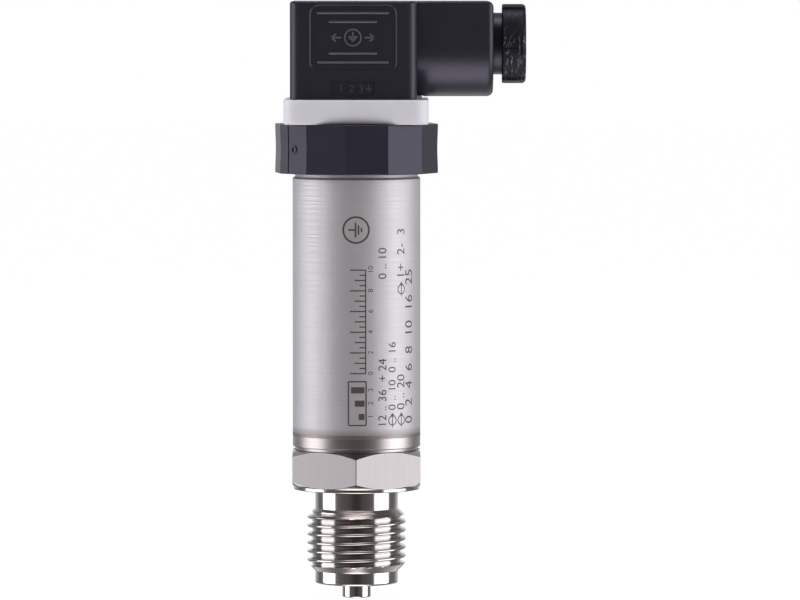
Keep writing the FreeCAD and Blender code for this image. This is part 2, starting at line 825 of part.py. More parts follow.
def rounded_path(points, radius):
    """Straight runs joined by tangent arcs."""
    edges = []
    start = points[0]
    for before, corner, after in zip(points, points[1:], points[2:]):
        incoming = (corner - before).normalize()
        outgoing = (after - corner).normalize()
        half_turn = incoming.getAngle(outgoing) / 2
        reach = radius * math.tan(half_turn)
        arc_start = corner - incoming * reach
        arc_end = corner + outgoing * reach
        inward = (outgoing - incoming).normalize()
        middle = corner + inward * (radius / math.cos(half_turn) - radius)
        edges.append(Part.LineSegment(start, arc_start).toShape())
        edges.append(Part.Arc(arc_start, middle, arc_end).toShape())
        start = arc_end
    edges.append(Part.LineSegment(start, points[-1]).toShape())
    return Part.Wire(edges)


# Sensor leads: insulated wires from the header pins to the foot of the board
lead_y = board_front.number - s.lead_radius.number - s.weld_clearance.number
lead_end = board_low.number + s.lead_overlap.number
wires = []
for index in range(HEADER_PINS):
    angle = math.radians(360 / HEADER_PINS * index)
    pin_x = header_circle_radius.number * math.cos(angle)
    pin_y = header_circle_radius.number * math.sin(angle)
    pad_x = s.lead_pitch.number * (HEADER_PINS - 1) / 2 * math.cos(angle)
    pad_x += s.lead_shift.number * index
    route = [FreeCAD.Vector(pin_x, pin_y, header_tip.number),
             FreeCAD.Vector(pin_x, pin_y, header_tip.number + s.lead_bend.number),
             FreeCAD.Vector(pad_x, lead_y, board_low.number - s.lead_bend.number / 2),
             FreeCAD.Vector(pad_x, lead_y, lead_end)]
    path = rounded_path(route, s.lead_bend.number / 2)
    disc = Part.Circle(route[0], FreeCAD.Vector(0, 0, 1), s.lead_radius.number).toShape()
    wires.append(path.makePipeShell([Part.Wire([disc])], True, True))
leads = doc.addObject("Part::Feature", "sensor_leads")
leads.Shape = Part.makeCompound(wires)
leads.Placement = FreeCAD.Placement()
nodes.append(leads)

# Contact blades: stamped strips; each blade stands on an arm that ends in a pin for the socket strip
arm_low = flange_low
cavity_roof = arm_low + s.arm_thickness
blade_low = cavity_roof + s.blade_root
blade_top = platform_top + s.blade_rise
contact_tip = socket_top - s.contact_pin_engagement
half_thick = s.blade_thickness / 2
half_arm = s.arm_width / 2
blade_in = blade_circle_radius - half_thick
blade_out = blade_circle_radius + half_thick


def stamped_blade(label, direction, column):
    """One strip: direction is the side of the base that the blade stands on."""
    x_side, y_side = direction
    half_blade = s.blade_width / 2
    rise = blade_top - blade_low
    if x_side:
        x_low = blade_in if x_side > 0 else -blade_out
        plate_low = (x_low, -half_blade)
        plate_span = (s.blade_thickness, s.blade_width)
        tail_low = (x_low, pin_row_y - half_arm)
        tail_span = (s.blade_thickness, half_arm * 2 - pin_row_y)
        arm_low_x = column - half_arm if x_side > 0 else -blade_out
        arm_span_x = blade_out + half_arm - column if x_side > 0 else blade_out + column + half_arm
        arm_corner = (arm_low_x, pin_row_y - half_arm)
        arm_span = (arm_span_x, s.arm_width)
    else:
        y_low = blade_in if y_side > 0 else -blade_out
        plate_low = (-half_blade, y_low)
        plate_span = (s.blade_width, s.blade_thickness)
        tail_low = (column - half_arm, y_low)
        tail_span = (s.arm_width, s.blade_thickness)
        arm_corner = (column - half_arm, pin_row_y - half_arm if y_side > 0 else -blade_out)
        arm_reach = blade_out - pin_row_y + half_arm if y_side > 0 else blade_out + pin_row_y + half_arm
        arm_span = (s.arm_width, arm_reach)
    plate = block(label + "_plate", plate_low + (blade_low,), plate_span + (rise,))
    tail = block(label + "_tail", tail_low + (arm_low,), tail_span + (blade_low - arm_low,))
    arm = block(label + "_arm", arm_corner + (arm_low,), arm_span + (s.arm_thickness,))
    pin = rod(label + "_pin", (column, pin_row_y, contact_tip), s.contact_pin_radius,
              arm_low - contact_tip + s.arm_thickness / 2)
    return joined(label, [plate, tail, arm, pin])


strips = [
    stamped_blade("left_strip", (-1, 0), pin_columns[0]),
    stamped_blade("front_strip", (0, -1), pin_columns[1]),
    stamped_blade("right_strip", (1, 0), pin_columns[3]),
]
nodes.append(grouped("contact_blades", strips))
earth_strip = stamped_blade("earth_blade", (0, 1), pin_columns[2])
nodes.append(earth_strip)

# Threaded insert: brass, flush with the platform
insert_bore = s.fixing_thread_radius + s.fixing_clearance
insert = new_body("threaded_insert")
extrude(insert, "insert_form", platform_top - s.insert_length, s.insert_length,
        circles=[(0, 0, s.insert_radius), (0, 0, insert_bore)])
nodes.append(insert)

# Plug base: white moulding round the strips; spigot, clamp flange, stem, square flange, platform
moulding = new_body("plug_base_moulding")
base_radius = tube_bore - s.base_clearance
base_groove_radius = base_radius - s.base_groove_depth
base_groove_top = neck_top - s.base_groove_drop + s.base_groove_width / 2
base_groove_low = base_groove_top - s.base_groove_width
base_cavity_radius = base_radius - s.base_wall
clamp_flange_radius = ring_thread_radius - s.clamp_flange_inset
flange_half = s.housing_half_depth + s.flange_overhang
square = extrude(moulding, "square_flange", flange_low, s.flange_height,
                 loops=[rectangle(-flange_half, -flange_half, flange_half, flange_half)])
corners = round_edges(moulding, "flange_corners", square,
                      lambda middle, box: upright(box), s.flange_corner)
under = round_edges(moulding, "flange_underside", corners,
                    lambda middle, box: close(middle.z, flange_low) and flat(box), s.flange_fillet)
revolve(moulding, "stem_and_spigot", [
    (base_cavity_radius, base_low),
    (base_radius, base_low),
    (base_radius, base_groove_low),
    (base_groove_radius, base_groove_low),
    (base_groove_radius, base_groove_top),
    (base_radius, base_groove_top),
    (base_radius, neck_top),
    (clamp_flange_radius, neck_top),
    (clamp_flange_radius, clamp_top),
    (stem_radius, clamp_top),
    (stem_radius, flange_low + s.flange_height / 2),
    (base_cavity_radius, flange_low + s.flange_height / 2),
])
extrude(moulding, "roof", cavity_roof, flange_low + s.flange_height / 2 - cavity_roof,
        circles=[(0, 0, base_cavity_radius + s.base_clearance)])
extrude(moulding, "cavity", base_low, cavity_roof - base_low,
        circles=[(0, 0, base_cavity_radius)], cut=True)
platform = extrude(moulding, "platform", flange_top, s.platform_height,
                   loops=[rectangle(-platform_half, -platform_half, platform_half, platform_half)])
round_edges(moulding, "platform_corners", platform,
            lambda middle, box: upright(box) and middle.z > flange_top.number, s.platform_corner)
extrude(moulding, "insert_hole", platform_top - s.insert_length, s.insert_length,
        circles=[(0, 0, s.insert_radius)], cut=True)
nodes.append(less("plug_base", moulding, joined("strip_space", strips + [earth_strip])))

# Base O-ring: rubber, in the spigot's groove
base_cord = s.base_groove_depth / 2
base_seal = doc.addObject("Part::Torus", "base_o_ring")
bind(base_seal, "Radius1", base_groove_radius + base_cord)
bind(base_seal, "Radius2", base_cord)
place(base_seal, 0, 0, base_groove_low + s.base_groove_width / 2)
nodes.append(base_seal)

# Ring nut: moulded, twelve sides, slit on one side so that it springs over the base
ring = new_body("ring_nut")
ring_flat_radius = ring_thread_radius + s.ring_wall
ring_corner = ring_flat_radius / math.cos(math.pi / RING_SIDES)
ring_turn = s.ring_turn.number + 180 / RING_SIDES - 90
ring_outline = []
for index in range(RING_SIDES):
    angle = math.radians(ring_turn + 360 / RING_SIDES * index)
    ring_outline.append((ring_corner * math.cos(angle), ring_corner * math.sin(angle)))
ring_block = extrude(ring, "twelve_sides", ring_low, ring_top - ring_low, loops=[ring_outline])
round_edges(ring, "ring_edges", ring_block,
            lambda middle, box: flat(box), s.ring_edge, "PartDesign::Chamfer")
extrude(ring, "thread_bore", ring_low, neck_top - ring_low,
        circles=[(0, 0, ring_thread_radius + s.ring_gap)], cut=True)
extrude(ring, "clamp_space", neck_top, lip_low - neck_top,
        circles=[(0, 0, ring_thread_radius + s.ring_relief)], cut=True)
extrude(ring, "lip_bore", lip_low, s.ring_lip_height,
        circles=[(0, 0, stem_radius + s.ring_gap)], cut=True)
slit_angle = math.radians(-90 - s.ring_slit_turn.number)
along = (math.cos(slit_angle), math.sin(slit_angle))
across = (-along[1], along[0])
slit = []
for share, side in ((0.5, -0.5), (OVERCUT, -0.5), (OVERCUT, 0.5), (0.5, 0.5)):
    slit.append((ring_flat_radius * (share * along[0]) + s.ring_slit_width * (side * across[0]),
                 ring_flat_radius * (share * along[1]) + s.ring_slit_width * (side * across[1])))
extrude(ring, "slit", ring_low, ring_top - ring_low, loops=[slit], cut=True)
nodes.append(ring)

# Plug housing: moulded box with a cable barrel, a framed panel, ribs and a window
housing = new_body("plug_housing")
outer_box = extrude(housing, "outer_box", housing_low, s.housing_height,
                    loops=[rectangle(-housing_left, -s.housing_half_depth,
                                     housing_right, s.housing_half_depth)])
round_edges(housing, "outer_box_corners", outer_box, lambda middle, box: upright(box), s.housing_corner)
barrel_start = housing_right - s.housing_corner
extrude(housing, "barrel_lower_half", barrel_start, barrel_end - barrel_start, role="YZ_Plane",
        circles=[(0, gland_level, s.barrel_radius)])
extrude(housing, "barrel_cut_flat", barrel_start, barrel_end - barrel_start, role="YZ_Plane", cut=True,
        loops=[rectangle(s.barrel_radius * -OVERCUT, housing_top,
                         s.barrel_radius * OVERCUT, gland_level + s.barrel_radius * OVERCUT)])
barrel = extrude(housing, "barrel_upper_half", barrel_start, barrel_end - barrel_start, role="YZ_Plane",
                 loops=[rectangle(-s.barrel_radius, gland_level, s.barrel_radius, housing_top)])
barrel_ends = round_edges(housing, "barrel_end_round", barrel,
                          lambda middle, box: (close(box.XMin, barrel_end)
                                               and not close(middle.z, housing_top)),
                          s.barrel_edge)
round_edges(housing, "top_edges", barrel_ends,
            lambda middle, box: close(box.ZMin, housing_top), s.housing_edge)
cavity_height = s.housing_height - s.roof_wall
extrude(housing, "cavity", housing_low, cavity_height, cut=True,
        loops=[rectangle(-cavity_left, -cavity_half, cavity_half, cavity_half)])
boss_low = housing_top - s.roof_wall - s.boss_length
extrude(housing, "screw_boss", boss_low, s.boss_length, circles=[(0, 0, s.boss_radius)])
extrude(housing, "screw_head_bore", housing_top - s.head_bore_depth, s.head_bore_depth,
        circles=[(0, 0, s.head_bore_radius)], cut=True)
extrude(housing, "screw_hole", boss_low, s.boss_length,
        circles=[(0, 0, s.screw_hole_radius)], cut=True)
extrude(housing, "gland_bore", barrel_end - s.gland_bore_depth, s.gland_bore_depth, role="YZ_Plane",
        circles=[(0, gland_level, s.gland_bore_radius)], cut=True)
extrude(housing, "wire_hole", housing_right - s.wire_hole_inset, barrel_end - housing_right, role="YZ_Plane",
        circles=[(0, gland_level, s.wire_hole_radius)], cut=True)
seal_right = housing_right - s.seal_right_margin
seal_left = housing_left - s.seal_margin
seal_side = s.housing_half_depth - s.seal_margin
seal_step = s.seal_thickness - s.plug_gap
extrude(housing, "seal_rebate", housing_low, seal_step, cut=True,
        loops=[rectangle(-seal_left - s.seal_fit, -seal_side - s.seal_fit,
                         seal_right + s.seal_fit, seal_side + s.seal_fit)])
extrude(housing, "seal_tab_notch", housing_low, seal_step, cut=True,
        loops=[rectangle(seal_right - s.seal_fit, -s.seal_tab_half - s.seal_fit,
                         housing_right * OVERCUT, s.seal_tab_half + s.seal_fit)])
panel_left = s.panel_left_margin - housing_left
panel_right = housing_right - s.panel_right_margin
panel_low = housing_low + s.panel_low_margin
panel_high = housing_top - s.panel_top_margin
panel_floor = s.housing_half_depth - s.panel_depth
panel = extrude(housing, "panel", panel_floor, s.panel_depth * 2, role="XZ_Plane", cut=True,
                loops=[rectangle(panel_left, panel_low, panel_right, panel_high)])
round_edges(housing, "panel_corners", panel,
            lambda middle, box: (box.XLength < EDGE_TOLERANCE and close(box.ZMax, panel_low)
                                 and close(box.YLength, s.panel_depth)),
            s.panel_corner)
panel_centre = (panel_left + panel_right) / 2
rib_level = (panel_low + panel_high) / 2 + s.rib_centre_lift
panel_half_height = (panel_high - panel_low) / 2
rib_loops = []
for half, margin in ((s.rib_long_half, s.rib_outer_margin), (s.rib_short_half, s.rib_inner_margin)):
    for side in (-1, 1):
        centre = rib_level + (panel_half_height - margin) * side
        rib_loops.append(rectangle(panel_centre - half, centre - s.rib_height / 2,
                                   panel_centre + half, centre + s.rib_height / 2))
extrude(housing, "ribs", panel_floor, s.rib_relief, role="XZ_Plane", loops=rib_loops)
window_low = housing_low + s.window_rise
extrude(housing, "window", s.housing_half_depth - s.window_depth, s.window_depth * 2,
        role="XZ_Plane", cut=True,
        loops=[rectangle(panel_centre - s.window_width / 2, window_low,
                         panel_centre + s.window_width / 2, window_low + s.window_height)])
nodes.append(housing)

# Profile seal: flat elastomer frame between the base and the housing, with a pull tab
seal = new_body("profile_seal")
seal_window = platform_half + s.seal_window_gap
extrude(seal, "seal_frame", flange_top, s.seal_thickness,
        loops=[rectangle(-seal_left, -seal_side, seal_right, seal_side),
               rectangle(-seal_window, -seal_window, seal_window, seal_window)])
extrude(seal, "pull_tab", flange_top, s.seal_thickness,
        loops=[rectangle(seal_right - s.seal_tab_root, -s.seal_tab_half,
                         housing_right + s.seal_tab_reach, s.seal_tab_half)])
nodes.append(seal)

# Terminal block: moulding inside the housing with a slot for each contact and a post for the screw
terminal = new_body("terminal_block")
block_low = platform_top + s.block_gap
block_top = block_low + s.block_height
block_left = cavity_left - s.block_fit
block_half = cavity_half - s.block_fit
extrude(terminal, "block_form", block_low, s.block_height,
        loops=[rectangle(-block_left, -block_half, block_half, block_half)])
extrude(terminal, "post", block_top, boss_low - block_top, circles=[(0, 0, s.post_radius)])
extrude(terminal, "screw_way", block_low, boss_low - block_low,
        circles=[(0, 0, s.screw_hole_radius)], cut=True)
sleeve_thick = s.blade_thickness / 2 + s.sleeve_gap + s.sleeve_wall
sleeve_side = s.blade_width / 2 + s.sleeve_gap + s.sleeve_side_wall
sleeve_in = blade_circle_radius - sleeve_thick
sleeve_out = blade_circle_radius + sleeve_thick
slot = extrude(terminal, "contact_slot", block_low, s.block_height, cut=True,
               loops=[rectangle(sleeve_in - s.sleeve_fit, -sleeve_side - s.sleeve_fit,
                                sleeve_out + s.sleeve_fit, sleeve_side + s.sleeve_fit)])
polar(terminal, "contact_slots", [slot], CONTACTS)
nodes.append(terminal)

# Contact sleeves: brass, each a socket for one blade with a wire lug on top of the block
sleeves = new_body("contact_sleeves", many=True)
sleeve_low = block_low + s.sleeve_lift
lug_half = s.lug_width / 2
socket_body = extrude(sleeves, "blade_socket", sleeve_low, block_top - sleeve_low,
                      loops=[rectangle(sleeve_in, -sleeve_side, sleeve_out, sleeve_side)])
lug_in = s.post_radius + s.lug_post_gap
lug = extrude(sleeves, "lug", block_top, s.lug_height,
              loops=[rectangle(lug_in, -lug_half, sleeve_out, lug_half)])
blade_way = extrude(sleeves, "blade_way", sleeve_low, blade_top + s.sleeve_gap - sleeve_low, cut=True,
                    loops=[rectangle(blade_in - s.sleeve_gap, s.blade_width * -0.5 - s.sleeve_gap,
                                     blade_out + s.sleeve_gap, s.blade_width * 0.5 + s.sleeve_gap)])
lug_centre = (lug_in + sleeve_out) / 2
wire_level = block_top + s.lug_hole_rise
wire_way = extrude(sleeves, "wire_way", -lug_half, s.lug_width, role="XZ_Plane", cut=True,
                   circles=[(lug_centre, wire_level, s.lug_hole_radius)])
screw_way = extrude(sleeves, "screw_way", wire_level, block_top + s.lug_height - wire_level, cut=True,
                    circles=[(lug_centre, 0, s.terminal_screw_radius)])
polar(sleeves, "contacts", [socket_body, lug, blade_way, wire_way, screw_way], CONTACTS)
nodes.append(sleeves)

# Terminal screws: one in each lug
screws = new_body("terminal_screws", many=True)
lug_top = block_top + s.lug_height
shank = extrude(screws, "shank", lug_top - s.terminal_screw_bite, s.terminal_screw_bite,
                circles=[(lug_centre, 0, s.terminal_screw_radius - s.weld_clearance)])
head = extrude(screws, "head", lug_top, s.terminal_head_height,
               circles=[(lug_centre, 0, s.terminal_head_radius)])
polar(screws, "screw_circle", [shank, head], CONTACTS)
nodes.append(screws)

# Fixing screw and the O-ring under its head
head_floor = housing_top - s.head_bore_depth
screw_head_low = head_floor + s.screw_seal_height + s.screw_head_gap
screw_tip = platform_top - s.screw_engagement
screw_seal_cord = s.screw_seal_height / 2
screw_seal = doc.addObject("Part::Torus", "screw_o_ring")
bind(screw_seal, "Radius1", s.screw_hole_radius + screw_seal_cord)
bind(screw_seal, "Radius2", screw_seal_cord)
place(screw_seal, 0, 0, head_floor + screw_seal_cord)
nodes.append(screw_seal)
fixing = new_body("fixing_screw")
extrude(fixing, "shank", screw_tip, screw_head_low - screw_tip,
        circles=[(0, 0, s.fixing_thread_radius)])
extrude(fixing, "head", screw_head_low, s.screw_head_height,
        circles=[(0, 0, s.screw_head_radius)])
screw_slot_half = s.screw_slot_width / 2
extrude(fixing, "slot", screw_head_low + s.screw_head_height - s.screw_slot_depth, s.screw_slot_depth, cut=True,
        loops=[rectangle(s.screw_head_radius * -OVERCUT, -screw_slot_half,
                         s.screw_head_radius * OVERCUT, screw_slot_half)])
nodes.append(fixing)

# Cable gland: rubber grommet, thrust washer and nut, one behind the other in the barrel
grommet_start = barrel_end - s.gland_bore_depth
washer_start = grommet_start + s.grommet_length + s.gland_gap
nut_start = washer_start + s.washer_thickness + s.gland_gap
nut_head_start = barrel_end + s.nut_neck_reach
grommet = new_body("cable_grommet")
extrude(grommet, "grommet_form", grommet_start, s.grommet_length, role="YZ_Plane",
        circles=[(0, gland_level, s.gland_bore_radius - s.grommet_fit),
                 (0, gland_level, s.grommet_bore_radius)])
nodes.append(grommet)
washer = new_body("thrust_washer")
extrude(washer, "washer_form", washer_start, s.washer_thickness, role="YZ_Plane",
        circles=[(0, gland_level, s.gland_bore_radius - s.washer_clearance),
                 (0, gland_level, s.washer_bore_radius)])
nodes.append(washer)

# Gland nut: moulded, threaded shank in the barrel, plain neck, lobed head
nut = new_body("gland_nut")
extrude(nut, "threaded_shank", nut_start, barrel_end - s.nut_neck_bite - nut_start, role="YZ_Plane",
        circles=[(0, gland_level, s.gland_bore_radius - s.nut_thread_clearance)])
extrude(nut, "neck", barrel_end - s.nut_neck_bite, s.nut_neck_reach + s.nut_neck_bite, role="YZ_Plane",
        circles=[(0, gland_level, s.nut_neck_radius)])
nut_head = extrude(nut, "nut_head", nut_head_start, s.nut_head_length, role="YZ_Plane",
                   circles=[(0, gland_level, s.nut_head_radius)])
nut_end = nut_head_start + s.nut_head_length
round_edges(nut, "nut_rim", nut_head, lambda middle, box: close(box.XMin, nut_end), s.nut_head_chamfer)
notch_low = s.nut_head_radius - s.nut_notch_depth
for index in range(NUT_LOBES):
    angle = math.radians(360 / NUT_LOBES * index - 90)
    radial = (math.cos(angle), math.sin(angle))
    notch = []
    for reach, side in ((notch_low, -0.5), (s.nut_head_radius * OVERCUT, -0.5),
                        (s.nut_head_radius * OVERCUT, 0.5), (notch_low, 0.5)):
        notch.append((reach * radial[0] - s.nut_notch_width * (side * radial[1]),
                      gland_level + reach * radial[1] + s.nut_notch_width * (side * radial[0])))
    extrude(nut, "notch_%d" % index, nut_head_start, s.nut_head_length, role="YZ_Plane", cut=True,
            loops=[notch])
extrude(nut, "cable_way", nut_start, nut_end - nut_start, role="YZ_Plane", cut=True,
        circles=[(0, gland_level, s.nut_bore_radius)])
nodes.append(nut)

# Every object must be sound before anything is written
doc.recompute()
faults = [item.Label for item in doc.Objects if "Invalid" in item.State or "Error" in item.State]
for node in nodes:
    if node.Shape.isNull() or not node.Shape.isValid():
        faults.append(node.Label)
if faults:
    raise RuntimeError("unsound: " + ", ".join(faults))
os.makedirs("parts", exist_ok=True)
for node in nodes:
    node.Shape.exportStep("parts/%s.step" % node.Label)
    print("%-24s %2d solids %9.2f mm3" % (node.Label, len(node.Shape.Solids), node.Shape.Volume))
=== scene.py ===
# Pressure transmitter: a turned steel connection, a satin steel tube with the electronics in it,
# a slit ring that clamps a white base, and a right-angled cable plug held on the base by one screw.
# Sizes are in mm, and heights are measured from the end face of the connection's collar.
import math

import bmesh
import bpy
from mathutils import Matrix, Vector


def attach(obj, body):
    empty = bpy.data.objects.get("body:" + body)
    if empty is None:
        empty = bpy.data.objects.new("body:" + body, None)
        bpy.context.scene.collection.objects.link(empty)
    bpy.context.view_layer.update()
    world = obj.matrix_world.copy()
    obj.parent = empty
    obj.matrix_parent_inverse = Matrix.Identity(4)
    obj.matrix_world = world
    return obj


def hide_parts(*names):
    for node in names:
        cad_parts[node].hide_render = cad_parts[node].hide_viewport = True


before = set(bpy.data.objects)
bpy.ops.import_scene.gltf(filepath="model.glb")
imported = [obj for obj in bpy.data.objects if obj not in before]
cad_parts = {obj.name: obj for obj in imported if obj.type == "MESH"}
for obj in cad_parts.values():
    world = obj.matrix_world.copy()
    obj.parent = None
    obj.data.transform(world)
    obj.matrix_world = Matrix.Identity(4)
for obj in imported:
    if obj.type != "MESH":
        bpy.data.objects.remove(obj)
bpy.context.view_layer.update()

# Process connection.
# One piece of 316L stainless hexagon bar, turned: pilot pin, sealing collar, pipe thread, neck, wrench
# hexagon, shoulder and the spigot in the tube. Bright as it leaves the lathe, with the flats left drawn.
MM = 0.001
HALF_TURN = math.pi
FULL_TURN = 2 * math.pi
ROUND_STEPS = 4
SHARP_ANGLE, THREAD_SHARP_ANGLE = math.radians(30), math.radians(40)
PORT_RADIUS, PILOT_RADIUS, PILOT_END = 1.5, 3.0, -3.0
COLLAR_RADIUS, COLLAR_TOP = 8.75, 2.7
NECK_RADIUS, NECK_LOW = 8.8, 16.0
PIPE_THREAD = {"Pitch": 1.814, "Crest": 10.4775, "Root": 9.3, "Start": COLLAR_TOP, "End": NECK_LOW,
               "Start Radius": COLLAR_RADIUS, "End Radius": NECK_RADIUS, "First Crest": 0.482}
PIPE_THREAD_ROWS = 190
HEX_CORNERS, HEX_FLAT, HEX_EDGE = 6, 13.5, 0.22
HEX_FIRST_CORNER = math.radians(-90)
HEX_LOW, HEX_RIM, HEX_RIM_RADIUS = 20.0, 0.75, 13.35
FLATS_LOW = HEX_LOW + 0.9
HEX_HIGH, HEX_HIGH_RADIUS = 28.5, 13.4
CHAMFER_SLOPE = math.tan(math.radians(30))
GROOVE_RADIUS, GROOVE_TOP = 12.75, 29.1
SHOULDER_RADIUS, SHOULDER_TOP = 13.5, 31.78
SPIGOT_RADIUS, SPIGOT_TOP = 11.28, 36.0
SEAT_RADIUS, SEAT_LOW = 9.55, 24.0
CHAMBER_RADIUS, CHAMBER_LOW = 8.4, 23.0


def linear(colour):
    """A colour written as six sRGB hex digits, as the linear numbers that a shader takes."""
    values = []
    for start in (1, 3, 5):
        share = int(colour[start:start + 2], 16) / 255
        values.append(share / 12.92 if share <= 0.04045 else ((share + 0.055) / 1.055) ** 2.4)
    return (*values, 1.0)


def add_node(tree, kind, settings=None, links=None):
    """Adds one node. Settings go to its sockets or its own options, and links come from other sockets."""
    node = tree.nodes.new(kind)
    for name, value in (settings or {}).items():
        if isinstance(name, int) or name in node.inputs:
            node.inputs[name].default_value = value
        else:
            setattr(node, name, value)
    for name, source in (links or {}).items():
        tree.links.new(source, node.inputs[name])
    return node


def rounded(corners, support=0.03):
    """A closed outline from corners (across, up, radius), each rounded and held by a point on both sides."""
    outline = []
    for index, (across, up, radius) in enumerate(corners):
        here = Vector((across, up))
        if not radius:
            outline.append(here)
            continue
        back = (Vector(corners[index - 1][:2]) - here).normalized()
        ahead = (Vector(corners[(index + 1) % len(corners)][:2]) - here).normalized()
        half = back.angle(ahead) / 2
        reach = radius / math.tan(half)
        centre = here + (back + ahead).normalized() * (radius / math.sin(half))
        first = here + back * reach - centre
        last = here + ahead * reach - centre
        outline.append(here + back * (reach + support))
        for step in range(ROUND_STEPS + 1):
            share = step / ROUND_STEPS
            outline.append(centre + (first * (1 - share) + last * share).normalized() * radius)
        outline.append(here + ahead * (reach + support))
    return outline


def make_piece(name, shape):
    """Makes a piece of a finished bmesh."""
    mesh = bpy.data.meshes.new(name)
    shape.to_mesh(mesh)
    shape.free()
    piece = bpy.data.objects.new(name, mesh)
    bpy.context.scene.collection.objects.link(piece)
    return piece


def skin(name, loops, joined):
    """A closed mesh over loops of points in mm. The last loop joins the first, or else both are capped."""
    shape = bmesh.new()
    rows = [[shape.verts.new(Vector(point) * MM) for point in loop] for loop in loops]
    following = rows[1:] + rows[:1] if joined else rows[1:]
    for here, there in zip(rows, following):
        for index in range(len(here)):
            shape.faces.new((here[index - 1], here[index], there[index], there[index - 1]))
    if not joined:
        shape.faces.new(rows[0])
        shape.faces.new(rows[-1])
    bmesh.ops.remove_doubles(shape, verts=shape.verts, dist=1e-7)
    bmesh.ops.recalc_face_normals(shape, faces=shape.faces)
    piece = make_piece(name, shape)
    piece.data.shade_smooth()
    piece.data.set_sharp_from_angle(angle=SHARP_ANGLE)
    return piece


def sections(section, angles):
    """The points of a section, which may change with the angle, at each of the angles round the Z axis."""
    return [[(out * math.cos(angle), out * math.sin(angle), up) for out, up in section(angle)]
            for angle in angles]


def turned(name, section, angles, joined=True):
    """A turned piece with a bore: its section is closed, and is carried round the Z axis."""
    return skin(name, sections(section, angles), joined)


def turned_solid(name, section, angles):
    """A turned piece without a bore: its section runs from near the Z axis round to near it again."""
    return skin(name, [list(level) for level in zip(*sections(section, angles))], joined=False)


def corner_arc(count, flat, edge):
    """For a bar with flats: half a flat's angle, how far out a corner's centre is, and where its arc ends."""
    half = HALF_TURN / count
    centre = (flat - edge) / math.cos(half)
    return half, centre, math.atan2(edge * math.sin(half), centre + edge * math.cos(half))


def flats_radius(angle, count, flat, first_corner, edge):
    """How far the side of a bar with flats is from its axis. Its corners are rounded by edge."""
    half, centre, arc_end = corner_arc(count, flat, edge)
    off_corner = abs((angle - first_corner + half) % (2 * half) - half)
    if off_corner < arc_end:
        return centre * math.cos(off_corner) + math.sqrt(edge ** 2 - (centre * math.sin(off_corner)) ** 2)
    return flat / math.cos(half - off_corner)


def corner_angles(count, flat, first_corner, edge, spacing):
    """Angles round a bar with flats: evenly spaced, and closer together over each rounded corner."""
    half, _, arc_end = corner_arc(count, flat, edge)
    angles = []
    for index in range(count):
        corner = first_corner + index * 2 * half
        for share in (-1.3, -1, -0.5, 0, 0.5, 1, 1.3):
            angles.append(corner + share * arc_end)
        between = round(2 * half / spacing)
        for step in range(1, between):
            angles.append(corner + step * 2 * half / between)
    return angles


def thread_blank(radius, start, end, rows):
    """Corners along a plain length, close enough together for a thread to be cut into it."""
    return [(radius, start + (end - start) * row / rows, 0) for row in range(rows + 1)]


def connection_section(angle):
    """The connection's section at an angle, as corners of radius, height and rounding."""
    side = flats_radius(angle, HEX_CORNERS, HEX_FLAT, HEX_FIRST_CORNER, HEX_EDGE)
    rim_top = HEX_LOW + HEX_RIM
    return rounded([
        (PORT_RADIUS, PILOT_END, 0.12), (PILOT_RADIUS, PILOT_END, 0.3), (PILOT_RADIUS, 0.0, 0.15),
        (COLLAR_RADIUS, 0.0, 0.5), *thread_blank(COLLAR_RADIUS, COLLAR_TOP, NECK_LOW, PIPE_THREAD_ROWS),
        (NECK_RADIUS, HEX_LOW, 0.25), (HEX_RIM_RADIUS, HEX_LOW, 0.25), (HEX_RIM_RADIUS, rim_top, 0.03),
        (side, rim_top + (side - HEX_RIM_RADIUS) * CHAMFER_SLOPE, 0.05),
        (side, HEX_HIGH - (side - HEX_HIGH_RADIUS) * CHAMFER_SLOPE, 0.08),
        (HEX_HIGH_RADIUS, HEX_HIGH, 0.03), (GROOVE_RADIUS, HEX_HIGH, 0.08), (GROOVE_RADIUS, GROOVE_TOP, 0.08),
        (SHOULDER_RADIUS, GROOVE_TOP, 0.25), (SHOULDER_RADIUS, SHOULDER_TOP, 0.06),
        (SPIGOT_RADIUS, SHOULDER_TOP, 0.1), (SPIGOT_RADIUS, SPIGOT_TOP, 0.2), (SEAT_RADIUS, SPIGOT_TOP, 0.1),
        (SEAT_RADIUS, SEAT_LOW, 0.1), (CHAMBER_RADIUS, SEAT_LOW, 0.1), (CHAMBER_RADIUS, CHAMBER_LOW, 0.2),
        (PORT_RADIUS, CHAMBER_LOW, 0.1)])


